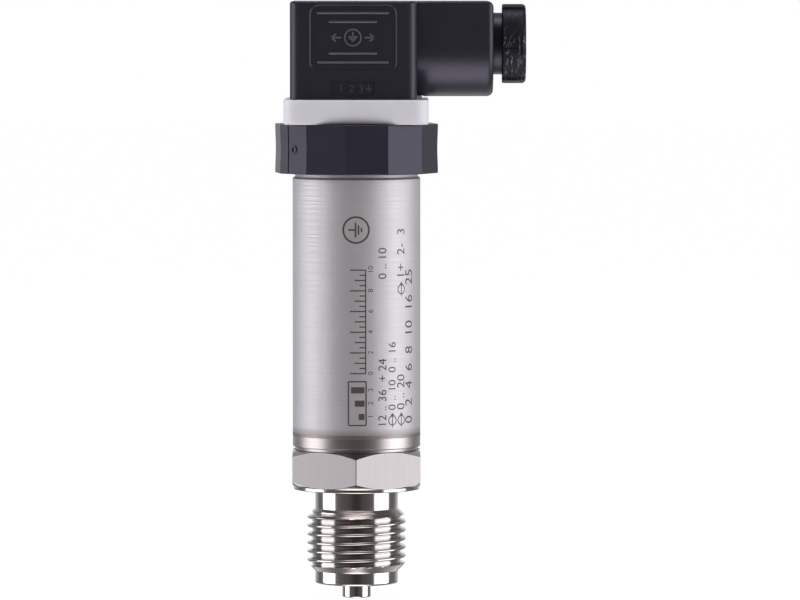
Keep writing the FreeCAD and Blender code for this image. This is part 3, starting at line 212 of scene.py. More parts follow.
def thread_cutting():
    """Cuts a screw thread into a turned piece: each point between Start and End goes to the form's radius."""
    tree = bpy.data.node_groups.new("thread_cutting", "GeometryNodeTree")
    tree.interface.new_socket("Blank", in_out="INPUT", socket_type="NodeSocketGeometry")
    for size in PIPE_THREAD:
        tree.interface.new_socket(size, in_out="INPUT", socket_type="NodeSocketFloat")
    tree.interface.new_socket("Finish", in_out="INPUT", socket_type="NodeSocketMaterial")
    tree.interface.new_socket("Threaded", in_out="OUTPUT", socket_type="NodeSocketGeometry")
    given = add_node(tree, "NodeGroupInput").outputs
    place = add_node(tree, "GeometryNodeInputPosition").outputs[0]
    parts = add_node(tree, "ShaderNodeSeparateXYZ", {}, {0: place}).outputs
    outward = add_node(tree, "ShaderNodeCombineXYZ", {}, {0: parts[0], 1: parts[1]}).outputs[0]
    radius = add_node(tree, "ShaderNodeVectorMath", {"operation": "LENGTH"}, {0: outward}).outputs["Value"]
    # The full form: flanks at 27.5 degrees, with crest and root rounded by 0.137 of the pitch
    form = add_node(tree, "ShaderNodeFloatCurve")
    curve = form.mapping.curves[0]
    curve.points[0].location = (0, 1)
    curve.points[1].location = (1, 1)
    for across, up in ((0.061, 0.978), (0.122, 0.885), (0.378, 0.115), (0.439, 0.022), (0.5, 0),
                       (0.561, 0.022), (0.622, 0.115), (0.878, 0.885), (0.939, 0.978)):
        curve.points.new(across, up)
    form.mapping.update()
    # Each sum has a name, an operation and two terms: a number, or the name of a size or of another sum
    known = {"x": parts[0], "y": parts[1], "z": parts[2], "radius": radius, "form": form.outputs[0]}
    known.update((size, given[size]) for size in PIPE_THREAD)
    for name, operation, *terms in (
            ("angle", "ARCTAN2", "y", "x"), ("turn", "DIVIDE", "angle", FULL_TURN),
            ("rise", "SUBTRACT", "z", "First Crest"), ("pitches", "DIVIDE", "rise", "Pitch"),
            ("past crest", "SUBTRACT", "pitches", "turn"), ("share", "FRACT", "past crest", 0.0),
            ("depth", "SUBTRACT", "Crest", "Root"), ("left", "MULTIPLY", "form", "depth"),
            ("cut", "ADD", "Root", "left"),
            ("in", "SUBTRACT", "z", "Start"), ("run in", "ADD", "Start Radius", "in"),
            ("out", "SUBTRACT", "End", "z"), ("run out", "ADD", "End Radius", "out"),
            ("run", "MINIMUM", "run in", "run out"), ("target", "MINIMUM", "cut", "run"),
            ("growth", "DIVIDE", "target", "radius"),
            ("above", "GREATER_THAN", "z", "Start"), ("below", "LESS_THAN", "z", "End"),
            ("within", "MULTIPLY", "above", "below"), ("bore", "MULTIPLY", "Root", 0.8),
            ("outer", "GREATER_THAN", "radius", "bore"), ("outside", "MULTIPLY", "within", "outer")):
        numbers = {index: term for index, term in enumerate(terms) if isinstance(term, float)}
        sources = {index: known[term] for index, term in enumerate(terms) if isinstance(term, str)}
        done = add_node(tree, "ShaderNodeMath", {"operation": operation, **numbers}, sources)
        known[name] = done.outputs[0]
    tree.links.new(known["share"], form.inputs["Value"])
    moved = add_node(tree, "ShaderNodeVectorMath", {"operation": "SCALE"},
                     {0: outward, "Scale": known["growth"]})
    lifted = add_node(tree, "ShaderNodeCombineXYZ", {}, {2: parts[2]}).outputs[0]
    final = add_node(tree, "ShaderNodeVectorMath", {"operation": "ADD"}, {0: moved.outputs[0], 1: lifted})
    cutting = add_node(tree, "GeometryNodeSetPosition", {},
                       {"Geometry": given["Blank"], "Selection": known["outside"],
                        "Position": final.outputs[0]})
    whole = add_node(tree, "GeometryNodeRealizeInstances", {}, {0: cutting.outputs[0]})
    covered = add_node(tree, "GeometryNodeSetMaterial", {},
                       {"Geometry": whole.outputs[0], "Material": given["Finish"]})
    add_node(tree, "NodeGroupOutput", {}, {0: covered.outputs[0]})
    return tree


def cut_thread(piece, tree, sizes, finish):
    """Cuts a thread into a turned piece, by its sizes in mm, and keeps the result as a plain mesh."""
    modifier = piece.modifiers.new("thread", "NODES")
    modifier.node_group = tree
    values = {size: value * MM for size, value in sizes.items()}
    values["Finish"] = finish
    for socket in tree.interface.items_tree:
        if socket.name in values:
            modifier[socket.identifier] = values[socket.name]
    keep_result(piece)
    piece.data.set_sharp_from_angle(angle=THREAD_SHARP_ANGLE)


def keep_result(piece):
    """Turns what a piece's modifiers make into its plain mesh."""
    graph = bpy.context.evaluated_depsgraph_get()
    made = bpy.data.meshes.new_from_object(piece.evaluated_get(graph))
    piece.modifiers.clear()
    piece.data = made


def start_material(name, colour, roughness, metallic=0.0):
    """A plain material, its node tree, its shader and the place on the piece, for detail to be added."""
    material = bpy.data.materials.new(name)
    material.use_nodes = True
    tree = material.node_tree
    shader = tree.nodes["Principled BSDF"]
    shader.inputs["Base Color"].default_value = linear(colour)
    shader.inputs["Roughness"].default_value = roughness
    shader.inputs["Metallic"].default_value = metallic
    material.diffuse_color = linear(colour)
    place = add_node(tree, "ShaderNodeTexCoord").outputs["Object"]
    return material, tree, shader, place


def vary_surface(tree, shader, colour, rough=None, relief=None):
    """Varies a surface by patterns. Each comes with two values: dark and light, least and most, or strength
    and depth in mm."""
    pattern, dark, light = colour
    tint = add_node(tree, "ShaderNodeMix", {"data_type": "RGBA", 6: linear(dark), 7: linear(light)},
                    {0: pattern})
    tree.links.new(tint.outputs[2], shader.inputs["Base Color"])
    if rough:
        pattern, least, most = rough
        spread = add_node(tree, "ShaderNodeMapRange", {"To Min": least, "To Max": most}, {"Value": pattern})
        tree.links.new(spread.outputs[0], shader.inputs["Roughness"])
    if relief:
        pattern, strength, depth = relief
        bumps = add_node(tree, "ShaderNodeBump", {"Strength": strength, "Distance": depth * MM},
                         {"Height": pattern})
        tree.links.new(bumps.outputs[0], shader.inputs["Normal"])


def turned_metal(name, light, dark, roughness, ring_width, ring_depth):
    """Turned metal. The tool leaves fine rings round the axis, which break its reflections into lines."""
    material, tree, shader, place = start_material(name, light, roughness, 1.0)
    parts = add_node(tree, "ShaderNodeSeparateXYZ", {}, {0: place}).outputs
    outward = add_node(tree, "ShaderNodeCombineXYZ", {}, {0: parts[0], 1: parts[1]}).outputs[0]
    radius = add_node(tree, "ShaderNodeVectorMath", {"operation": "LENGTH"}, {0: outward}).outputs["Value"]
    along = add_node(tree, "ShaderNodeMath", {"operation": "MULTIPLY_ADD", 1: 1.3}, {0: radius, 2: parts[2]})
    rings = add_node(tree, "ShaderNodeTexNoise",
                     {"noise_dimensions": "1D", "Scale": 1 / (ring_width * MM), "Detail": 3.0},
                     {"W": along.outputs[0]}).outputs[0]
    clouds = add_node(tree, "ShaderNodeTexNoise", {"Scale": 1 / (6 * MM), "Detail": 2.0},
                      {"Vector": place}).outputs[0]
    vary_surface(tree, shader, (clouds, dark, light), (rings, roughness * 0.75, roughness * 1.25),
                 (rings, 0.5, ring_depth))
    return material


def drawn_flats(name, light, dark, roughness):
    """The flats of cold-drawn hexagon bar: satin, with the fine lines of the die along the bar."""
    material, tree, shader, place = start_material(name, light, roughness, 1.0)
    # The real lines are about 0.05 mm apart, and are drawn three times as coarse to show
    stretched = add_node(tree, "ShaderNodeMapping", {"Scale": (1 / 0.15, 1 / 0.15, 1 / 9)}, {0: place})
    lines = add_node(tree, "ShaderNodeTexNoise", {"Scale": 1 / MM, "Detail": 2.0},
                     {"Vector": stretched.outputs[0]}).outputs[0]
    vary_surface(tree, shader, (lines, dark, light), relief=(lines, 0.4, 0.008))
    return material


def fit(piece, material, body, slot, *nodes):
    """Gives a piece its material, unless it has one, and ties it to its body and nodes. The slot is not used.
    """
    if not piece.data.materials:
        piece.data.materials.append(material)
    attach(piece, body)
    if nodes:
        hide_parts(*nodes)


bright_steel = turned_metal("bright_turned_stainless_steel", "#D2CFCE", "#C4C0BF", 0.13, 0.22, 0.004)
shoulder_steel = turned_metal("coarse_turned_stainless_steel", "#C4BDBE", "#B5AEAF", 0.38, 0.3, 0.008)
drawn_steel = drawn_flats("drawn_stainless_steel", "#BFBABD", "#AEA9AC", 0.46)
cutting_tree = thread_cutting()
hex_angles = corner_angles(HEX_CORNERS, HEX_FLAT, HEX_FIRST_CORNER, HEX_EDGE, math.radians(2.5))
connection = turned("connection", connection_section, hex_angles)
cut_thread(connection, cutting_tree, PIPE_THREAD, bright_steel)
connection.data.materials.append(drawn_steel)
connection.data.materials.append(shoulder_steel)
for face in connection.data.polygons:
    upright = abs(face.normal.z) < 0.01
    if FLATS_LOW * MM < face.center.z < HEX_HIGH * MM and upright:
        if face.center.xy.length > (HEX_FLAT - 0.01) * MM:
            face.material_index = 1
    elif face.center.z > HEX_HIGH * MM:
        face.material_index = 2
fit(connection, bright_steel, "case", "turned_steel", "process_connection")

# Pressure sensor.
# An oil-filled capsule of stainless steel, closed by a welded corrugated foil, with a silicon die behind it.
# A screwed ring holds it on its O-ring. Gilt pins come through beads of glass, with sleeved leads on them.


def cover(material, *nodes):
    """Gives CAD nodes a material in their own slots."""
    for node in nodes:
        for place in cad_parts[node].material_slots:
            place.material = material


def plated(name, light, dark, roughness):
    """Plated, drawn or stamped metal: smooth, with faint clouds in the colour and a soft unevenness."""
    material, tree, shader, place = start_material(name, light, roughness, 1.0)
    clouds = add_node(tree, "ShaderNodeTexNoise", {"Scale": 1 / (1.2 * MM), "Detail": 3.0},
                      {"Vector": place}).outputs[0]
    vary_surface(tree, shader, (clouds, dark, light), (clouds, roughness * 0.8, roughness * 1.3),
                 (clouds, 0.3, 0.02))
    return material


def moulded(name, light, dark, roughness, grain, grain_depth):
    """Moulded plastic or rubber: faint clouds from the flow, and the fine grain that the mould leaves."""
    material, tree, shader, place = start_material(name, light, roughness)
    clouds = add_node(tree, "ShaderNodeTexNoise", {"Scale": 1 / (5 * MM), "Detail": 3.0},
                      {"Vector": place}).outputs[0]
    speck = add_node(tree, "ShaderNodeTexNoise", {"Scale": 1 / (grain * MM), "Detail": 2.0},
                     {"Vector": place}).outputs[0]
    vary_surface(tree, shader, (clouds, dark, light), (clouds, roughness * 0.88, roughness * 1.12),
                 (speck, 0.6, grain_depth))
    return material


seal_rubber = moulded("moulded_nitrile_rubber", "#28272A", "#1F1E20", 0.55, 0.12, 0.01)
cover(seal_rubber, "sensor_o_ring")
cover(turned_metal("fine_turned_stainless_steel", "#CBC8C6", "#BDBAB8", 0.24, 0.3, 0.004),
      "sensor_capsule", "sensor_retaining_ring")
cover(plated("rolled_stainless_foil", "#D6D4D2", "#CAC8C6", 0.16), "isolating_diaphragm")
cover(plated("gilt_pin", "#E6C477", "#D3AC5A", 0.22), "header_pins")
cover(moulded("extruded_silicone_sleeve", "#B23A31", "#9C2F28", 0.48, 0.3, 0.006), "sensor_leads")

# Sealing glass is dark green and smooth, and light goes a little way into it
bead_glass, bead_tree, bead_shader, bead_place = start_material("fused_sealing_glass", "#53665E", 0.08)
bead_shader.inputs["IOR"].default_value = 1.52
bead_shader.inputs["Transmission Weight"].default_value = 0.35
bubbles = add_node(bead_tree, "ShaderNodeTexNoise", {"Scale": 1 / (0.3 * MM)}, {"Vector": bead_place})
vary_surface(bead_tree, bead_shader, (bubbles.outputs[0], "#45564F", "#62776E"))
cover(bead_glass, "glass_seals")

# Polished silicon looks like blue-grey metal. The fine grid is the bridge and its tracks
silicon, die_tree, die_shader, die_place = start_material("polished_silicon", "#6C7280", 0.12, 0.85)
grid = add_node(die_tree, "ShaderNodeTexBrick",
                {"Scale": 1 / (0.8 * MM), "Color1": linear("#6C7280"), "Color2": linear("#5F6678"),
                 "Mortar": linear("#C0B58A"), "Mortar Size": 0.03}, {"Vector": die_place})
die_tree.links.new(grid.outputs[0], die_shader.inputs["Base Color"])
cover(silicon, "sensing_die")

# Electronics.
# A glass-fibre board with a green solder mask stands on its edge in a natural nylon carrier. It has two
# black epoxy chips, a transistor, three aluminium cans, a row of resistors, two blue trimmers and a socket.
cover(moulded("natural_moulded_nylon", "#DAD6C8", "#CFCABB", 0.5, 0.15, 0.008), "board_carrier")
cover(moulded("transfer_moulded_epoxy", "#2E2D30", "#262528", 0.62, 0.06, 0.006), "amplifier_chip",
      "converter_chip", "output_transistor")
cover(plated("drawn_aluminium_can", "#DADADC", "#CBCBCE", 0.3), "capacitors")
cover(moulded("fired_resistor_film", "#2B2624", "#4A4540", 0.35, 0.4, 0.01), "resistors")
cover(moulded("blue_moulded_polyester", "#2F5FA8", "#294F90", 0.34, 0.12, 0.004), "zero_trimmer",
      "span_trimmer")
cover(turned_metal("turned_trimmer_brass", "#E2C684", "#D2B06A", 0.24, 0.2, 0.004),
      "zero_trimmer_rotor", "span_trimmer_rotor")
cover(moulded("black_moulded_polyester", "#2B2A2D", "#232225", 0.44, 0.12, 0.005), "socket_strip")

# Solder mask: a glossy green skin that dips between the copper tracks, which show through it as lighter lines
board_green, board_tree, board_shader, board_place = start_material("solder_masked_laminate", "#1F6B3C", 0.3)
upright_board = add_node(board_tree, "ShaderNodeMapping", {"Rotation": (math.radians(90), 0, 0)},
                         {0: board_place}).outputs[0]
tracks = add_node(board_tree, "ShaderNodeTexBrick",
                  {"Scale": 1 / (2.54 * MM), "Color1": linear("#1B5F35"), "Color2": linear("#1F6B3C"),
                   "Mortar": linear("#3F9160"), "Mortar Size": 0.06, "Brick Width": 1.5,
                   "Row Height": 0.5}, {"Vector": upright_board})
board_tree.links.new(tracks.outputs[0], board_shader.inputs["Base Color"])
board_relief = add_node(board_tree, "ShaderNodeBump", {"Strength": 0.5, "Distance": 0.03 * MM},
                        {"Height": tracks.outputs[1]})
board_tree.links.new(board_relief.outputs[0], board_shader.inputs["Normal"])
cover(board_green, "circuit_board")

# Case tube.
# Drawn 316L tube, satin ground all round and laser welded to the shoulder. Its top is turned down to a stop
# collar and the neck for the ring. The seam is a flat grey bead that shows as a soft line.
TUBE_RADIUS, TUBE_BORE, TUBE_SEAM, TUBE_TOP = 13.5, 11.3, 31.8, 94.0
SATIN_TOP, SATIN_CHAMFER = 85.8, 0.35
STOP_RADIUS, STOP_LOW, STOP_TOP = 13.05, 86.42, 86.9
STOP_GROOVE_RADIUS, TUBE_NECK_RADIUS = 12.85, 12.75
SEAM_HALF, SEAM_HEIGHT, SEAM_WAVE, SEAM_RIPPLES = 0.34, 0.035, 0.04, 96
ROUND_COLUMNS = 192


def even_angles(count):
    """Angles in equal steps round a full turn."""
    return [FULL_TURN * index / count for index in range(count)]


def tube_section(angle):
    """The tube's section, which is the same at each angle."""
    chamfer_top = SATIN_TOP + SATIN_CHAMFER
    return rounded([(TUBE_BORE, TUBE_SEAM, 0.05), (TUBE_RADIUS, TUBE_SEAM, 0.05),
                    (TUBE_RADIUS, SATIN_TOP, 0.06), (TUBE_RADIUS - SATIN_CHAMFER, chamfer_top, 0.05),
                    (STOP_GROOVE_RADIUS, chamfer_top, 0.05), (STOP_GROOVE_RADIUS, STOP_LOW, 0.04),
                    (STOP_RADIUS, STOP_LOW, 0.05), (STOP_RADIUS, STOP_TOP, 0.06),
                    (TUBE_NECK_RADIUS, STOP_TOP, 0.08), (TUBE_NECK_RADIUS, TUBE_TOP, 0.3),
                    (TUBE_BORE, TUBE_TOP, 0.15)])


def seam_section(angle):
    """The weld bead's section. Each pulse of the laser leaves a scale, so the bead waves round the tube."""
    middle = TUBE_SEAM + SEAM_WAVE * math.sin(SEAM_RIPPLES * angle)
    return [(TUBE_RADIUS - 0.01 + SEAM_HEIGHT * math.cos(around), middle + SEAM_HALF * math.sin(around))
            for around in even_angles(10)]


satin_steel = turned_metal("satin_ground_stainless_tube", "#DAD8DD", "#D0CED3", 0.62, 0.35, 0.002)
tube_tree = satin_steel.node_tree
tube_shader = tube_tree.nodes["Principled BSDF"]
# The ground scratches scatter some of the light evenly, as a metal surface alone doesn't
tube_shader.inputs["Metallic"].default_value = 0.88
# The tube's lowest two millimetres are darker, from the heat of the seam
tube_place = add_node(tube_tree, "ShaderNodeTexCoord").outputs["Object"]
tube_height = add_node(tube_tree, "ShaderNodeSeparateXYZ", {}, {0: tube_place}).outputs[2]
heat = add_node(tube_tree, "ShaderNodeMapRange",
                {"interpolation_type": "SMOOTHSTEP", "From Min": TUBE_SEAM * MM,
                 "From Max": (TUBE_SEAM + 2.2) * MM, "To Min": 0.55, "To Max": 0.0}, {"Value": tube_height})
tube_colour = tube_shader.inputs["Base Color"].links[0].from_socket
tinted = add_node(tube_tree, "ShaderNodeMix", {"data_type": "RGBA", 7: linear("#7A6E6E")},
                  {0: heat.outputs[0], 6: tube_colour})
tube_tree.links.new(tinted.outputs[2], tube_shader.inputs["Base Color"])
seam_steel = plated("brushed_weld_bead", "#A9A19F", "#948C8A", 0.5)
tube = turned("tube", tube_section, even_angles(ROUND_COLUMNS))
fit(tube, satin_steel, "case", "satin_tube", "case_tube")
seam = turned("weld_seam", seam_section, even_angles(ROUND_COLUMNS * 3))
fit(seam, seam_steel, "case", "satin_tube")

# Marks on the tube.
# Written by a laser, which anneals the steel to a thin brown-grey oxide with no depth. Only plain numbers,
# signs, a graduated bar and a chart are here, read from below upwards, as skins a hundredth of a mm thick.
MARK_SKIN, MARK_BEND = 0.012, 0.3
RING_SIGN_SIDES = 40
# A digit's height as a share of the font's size
DIGIT_SHARE = 0.69


def flat_bar(shape, start, end, width):
    """Adds a bar from start to end to a mesh of flat signs, which lies in the plane and is 1 thick."""
    start, end = Vector(start), Vector(end)
    side = (end - start).normalized().orthogonal() * (width / 2)
    low = [start - side, end - side, end + side, start + side]
    under = [shape.verts.new((point.x, point.y, 0)) for point in low]
    over = [shape.verts.new((point.x, point.y, 1)) for point in low]
    shape.faces.new(under[::-1])
    shape.faces.new(over)
    for index in range(4):
        shape.faces.new((under[index - 1], under[index], over[index], over[index - 1]))


def flat_ring(shape, centre, radius, width):
    """Adds a ring to a mesh of flat signs."""
    rows = []
    for angle in even_angles(RING_SIGN_SIDES):
        row = []
        for out, up in ((-0.5, 0), (0.5, 0), (0.5, 1), (-0.5, 1)):
            reach = radius + out * width
            row.append(shape.verts.new((centre[0] + reach * math.cos(angle),
                                        centre[1] + reach * math.sin(angle), up)))
        rows.append(row)
    for here, there in zip(rows, rows[1:] + rows[:1]):
        for index in range(4):
            shape.faces.new((here[index - 1], there[index - 1], there[index], here[index]))


def flat_number(shape, words, place, height):
    """Adds plain numbers to a mesh of flat signs, with their lower left corner at place."""
    curve = bpy.data.curves.new("number", "FONT")
    curve.body = words
    curve.size = height / DIGIT_SHARE
    curve.extrude = 0.5
    curve.resolution_u = 4
    writer = bpy.data.objects.new("number", curve)
    bpy.context.scene.collection.objects.link(writer)
    graph = bpy.context.evaluated_depsgraph_get()
    mesh = bpy.data.meshes.new_from_object(writer.evaluated_get(graph))
    mesh.transform(Matrix.Translation((*place, 0.5)))
    shape.from_mesh(mesh)
    bpy.data.objects.remove(writer)
    bpy.data.curves.remove(curve)
    bpy.data.meshes.remove(mesh)


def flat_arrow(shape, tail, tip, width):
    """Adds a plain arrow with an open head to a mesh of flat signs."""
    tail, tip = Vector(tail), Vector(tip)
    back = (tail - tip).normalized() * (width * 4)
    flat_bar(shape, tail, tip, width)
    for turn in (-35, 35):
        barb = back.copy()
        barb.rotate(Matrix.Rotation(math.radians(turn), 2))
        flat_bar(shape, tip, tip + barb, width)


def flat_earth_sign(shape, centre, size, width):
    """Adds the earth sign to a mesh of flat signs: a stem on three bars, each shorter than the last."""
    left, low = centre
    flat_bar(shape, (left, low), (left, low + size / 2), width)
    for row, half in enumerate((0.5, 0.32, 0.14)):
        up = low - row * size * 0.2
        flat_bar(shape, (left - half * size, up), (left + half * size, up), width)


def finish_flat(name, shape, thickness, place_point):
    """Merges flat signs into closed skins, puts each point in its place and makes the piece."""
    bmesh.ops.remove_doubles(shape, verts=shape.verts, dist=1e-4)
    bmesh.ops.recalc_face_normals(shape, faces=shape.faces)
    for vert in shape.verts:
        along, across, out = vert.co
        vert.co = Vector(place_point(along, across, out * thickness)) * MM
    return make_piece(name, shape)


def on_tube(along, across, out):
    """The place on the tube of a point of the flat marks."""
    angle = math.radians(-90) - across / TUBE_RADIUS
    radius = TUBE_RADIUS + out - MARK_SKIN / 2
    return radius * math.cos(angle), radius * math.sin(angle), along


marks = bmesh.new()
EARTH_ALONG = 75.4
flat_ring(marks, (EARTH_ALONG, 0.0), radius=2.7, width=0.4)
flat_earth_sign(marks, (EARTH_ALONG, 0.1), size=3.1, width=0.36)
# The graduated bar: a rail with a tick for each half step, and a number at every second step
RAIL_LOW, RAIL_STEP, RAIL_LINE, RAIL_STROKE = 45.3, 2.17, -2.0, 0.26
SMALL_DIGIT, SMALL_DIGIT_HALF = 1.1, 0.35
flat_bar(marks, (RAIL_LOW, RAIL_LINE), (RAIL_LOW + 10 * RAIL_STEP, RAIL_LINE), RAIL_STROKE)
for step in range(21):
    reach = 3.3 if step % 4 == 0 else 2.3 if step % 2 == 0 else 1.3
    tick = RAIL_LOW + step * RAIL_STEP / 2
    flat_bar(marks, (tick, RAIL_LINE), (tick, RAIL_LINE + reach), RAIL_STROKE)
    if step % 4 == 0:
        words = str(step // 2)
        flat_number(marks, words, (tick - SMALL_DIGIT_HALF * len(words), RAIL_LINE - 1.6), SMALL_DIGIT)
# A framed chart of three bars, with their numbers under it
CHART_CORNERS = ((34.4, -2.1), (43.6, -2.1), (43.6, 1.6), (34.4, 1.6))
CHART_FIRST, CHART_STEP, CHART_FOOT = 36.2, 2.8, -1.75
for index, corner in enumerate(CHART_CORNERS):
    flat_bar(marks, CHART_CORNERS[index - 1], corner, width=0.3)
for number, tall in enumerate((1.2, 2.0, 2.8)):
    middle = CHART_FIRST + number * CHART_STEP
    flat_bar(marks, (middle, CHART_FOOT), (middle, CHART_FOOT + tall), width=1.3)
    flat_number(marks, str(number + 1), (middle - SMALL_DIGIT_HALF, -3.6), SMALL_DIGIT)
# Rows of numbers further round the tube, three of them after a ring with an arrow through it
for height, across, start, words in ((1.85, -6.6, 33.9, "12 .. 36  + 24"), (1.85, -6.6, 65.0, "0 .. 10"),
                                     (1.8, -8.9, 37.4, "0 .. 10  0 .. 16"), (2.1, -11.4, 37.4, "0 .. 20"),
                                     (2.1, -11.4, 65.0, "1+  2-  3"),
                                     (2.4, -14.1, 34.4, "0  2  4  6  8  10  16  25")):
    flat_number(marks, words, (start, across), height)
for centre in ((35.3, -8.1), (35.3, -10.5), (62.8, -10.5)):
    flat_ring(marks, centre, radius=0.95, width=0.22)
    flat_arrow(marks, (centre[0] - 1.5, centre[1]), (centre[0] + 1.5, centre[1]), width=0.2)
# The flat marks are cut into narrow strips, so that they can bend round the tube
for cut in range(-48, 14):
    bmesh.ops.bisect_plane(marks, geom=marks.verts[:] + marks.edges[:] + marks.faces[:],
                           plane_co=(0, cut * MARK_BEND, 0), plane_no=(0, 1, 0))
# The oxide is a ceramic film, so it stays dark where the bare steel beside it shines
annealed = moulded("laser_annealed_oxide", "#544A46", "#463C38", 0.5, 0.1, 0.002)
fit(finish_flat("tube_marks", marks, MARK_SKIN, on_tube), annealed, "case", "satin_tube")

# Plug base.
# One moulding of greyish white polyamide: a spigot in the tube, the clamp flange under the ring, and a square
# flange with a platform for the plug. Its sides round in underneath, and its corners stay full as four pads.
BASE_END, BASE_SPIGOT_RADIUS, STEM_RADIUS = 87.5, 11.24, 11.35
HOLLOW_RADIUS, HOLLOW_ROOF = 8.9, 98.2
SEAL_GROOVE_RADIUS, SEAL_GROOVE_LOW, SEAL_GROOVE_TOP = 9.94, 89.95, 91.65
CLAMP_RADIUS, CLAMP_TOP = 12.55, 96.0
UNDERSIDE_START = 12.8
FLANGE_HALF, FLANGE_CORNER = 15.2, 3.0
FLANGE_LOW, FLANGE_TOP = 97.4, 102.6
SIDE_UNDER_EDGE, PAD_UNDER_EDGE = 2.0, 0.5
PAD_START, PAD_FULL = 6.0, 10.0
PLATFORM_HALF, PLATFORM_CORNER, PLATFORM_TOP = 10.6, 2.5, 104.8
INSERT_RADIUS, INSERT_LOW = 2.1, 98.6
BASE_AXIS_RADIUS = 1.0
QUARTER_STEPS = 48


def square_radius(angle, half, corner):
    """How far the side of a square with round corners is from the axis."""
    across, up = abs(math.cos(angle)), abs(math.sin(angle))
    flat = half / max(across, up)
    middle = half - corner
    if min(across, up) * flat <= middle:
        return flat
    reach = middle * (across + up)
    return reach + math.sqrt(reach ** 2 - 2 * middle ** 2 + corner ** 2)


def soft_step(value, start, end):
    """Rises softly from 0 at start to 1 at end."""
    share = min(1.0, max(0.0, (value - start) / (end - start)))
    return share * share * (3 - 2 * share)


def base_section(angle):
    """The base's section at an angle, from its hollow's roof, under and round it, to the insert's bore."""
    side = square_radius(angle, FLANGE_HALF, FLANGE_CORNER)
    platform = square_radius(angle, PLATFORM_HALF, PLATFORM_CORNER)
    points = rounded([(BASE_AXIS_RADIUS, HOLLOW_ROOF, 0), (HOLLOW_RADIUS, HOLLOW_ROOF, 0.3),
                      (HOLLOW_RADIUS, BASE_END, 0.2), (BASE_SPIGOT_RADIUS, BASE_END, 0.4),
                      (BASE_SPIGOT_RADIUS, SEAL_GROOVE_LOW, 0.1), (SEAL_GROOVE_RADIUS, SEAL_GROOVE_LOW, 0.2),
                      (SEAL_GROOVE_RADIUS, SEAL_GROOVE_TOP, 0.2), (BASE_SPIGOT_RADIUS, SEAL_GROOVE_TOP, 0.1),
                      (BASE_SPIGOT_RADIUS, TUBE_TOP, 0.1), (CLAMP_RADIUS, TUBE_TOP, 0.15),
                      (CLAMP_RADIUS, CLAMP_TOP, 0.15), (STEM_RADIUS, CLAMP_TOP, 0.2),
                      (STEM_RADIUS, FLANGE_LOW, 0.1), (UNDERSIDE_START, FLANGE_LOW, 0)])
    pad = soft_step(side * min(abs(math.cos(angle)), abs(math.sin(angle))), PAD_START, PAD_FULL)
    edge = SIDE_UNDER_EDGE + (PAD_UNDER_EDGE - SIDE_UNDER_EDGE) * pad
    for degrees in range(0, 91, 10):
        turn = math.radians(degrees)
        points.append(Vector((side - edge + edge * math.sin(turn), FLANGE_LOW + edge * (1 - math.cos(turn)))))
    points += rounded([(side, FLANGE_LOW + edge + 0.05, 0), (side, FLANGE_TOP, 0.25),
                       (platform, FLANGE_TOP, 0.15), (platform, PLATFORM_TOP, 0.3),
                       (INSERT_RADIUS, PLATFORM_TOP, 0.08), (INSERT_RADIUS, INSERT_LOW, 0.05),
                       (BASE_AXIS_RADIUS, INSERT_LOW, 0)])
    return points


def side_angles(steps):
    """Angles round a square, closer together over its round corners."""
    angles = []
    for quarter in range(4):
        for step in range(steps):
            share = step / steps
            angles.append((quarter + share + 0.1 * math.sin(FULL_TURN * share)) * HALF_TURN / 2)
    return angles


white_polyamide = moulded("white_moulded_polyamide", "#DFDCE3", "#D6D3DB", 0.42, 0.18, 0.006)
# White polyamide lets some light through, so its corners are lit from both sides and look paler
white_shader = white_polyamide.node_tree.nodes["Principled BSDF"]
white_shader.inputs["Subsurface Weight"].default_value = 0.7
white_shader.inputs["Subsurface Radius"].default_value = (1.0, 0.95, 0.9)
white_shader.inputs["Subsurface Scale"].default_value = 3.0 * MM
base = turned_solid("base", base_section, side_angles(QUARTER_STEPS))
fit(base, white_polyamide, "head", "base_polyamide", "plug_base")

# Contacts of the base.
# Three flat blades and an earth blade, stamped from tinned brass and moulded in, and a turned brass insert
# for the screw. The O-ring seals the spigot in the tube.
cover(plated("tinned_brass_blade", "#D3D0C8", "#C4C0B7", 0.27), "contact_blades", "earth_blade")
cover(turned_metal("turned_insert_brass", "#DFC07C", "#CEAA66", 0.26, 0.2, 0.004), "threaded_insert")
cover(seal_rubber, "base_o_ring")

# Ring nut.
# Black polyamide, twelve-sided and slit down one side, so that it springs over the base. The flats have sunk
# a little where the wall is thick, and a pip is left by the gate.
RING_SIDES, RING_FLAT, RING_EDGE = 12, 16.76, 0.15
RING_FIRST_CORNER = math.radians(-67)
RING_LOW, RING_TOP = 86.95, 97.35
RING_BORE, RING_ROOM, RING_LIP, RING_LIP_LOW = 12.8, 13.1, 11.4, 96.05
RING_SINK = 0.14
RING_SLIT_ANGLE, RING_SLIT_WIDTH = math.radians(-147.8), 0.35
RING_LEVELS = 10


def black_moulding(name, light, dark, roughness, grain, grain_depth):
    """Black moulded polyamide, whose shine is a little bluish."""
    material = moulded(name, light, dark, roughness, grain, grain_depth)
    material.node_tree.nodes["Principled BSDF"].inputs["Specular Tint"].default_value = linear("#E3E1FF")
    return material


def ring_section(angle):
    """The ring's section at an angle, with its bore for the tube, room for the clamp flange, and its lip."""
    side = flats_radius(angle, RING_SIDES, RING_FLAT, RING_FIRST_CORNER, RING_EDGE)
    corners = [(RING_BORE, RING_LOW, 0.3), (side, RING_LOW, 0.22)]
    for level in range(1, RING_LEVELS):
        share = level / RING_LEVELS
        sunk = RING_SINK * math.sin(share * HALF_TURN) ** 2
        corners.append((side - sunk, RING_LOW + share * (RING_TOP - RING_LOW), 0))
    return rounded(corners + [(side, RING_TOP, 0.22), (RING_LIP, RING_TOP, 0.2),
                              (RING_LIP, RING_LIP_LOW, 0.1), (RING_ROOM, RING_LIP_LOW, 0.1),
                              (RING_ROOM, TUBE_TOP, 0.1), (RING_BORE, TUBE_TOP, 0.1)])


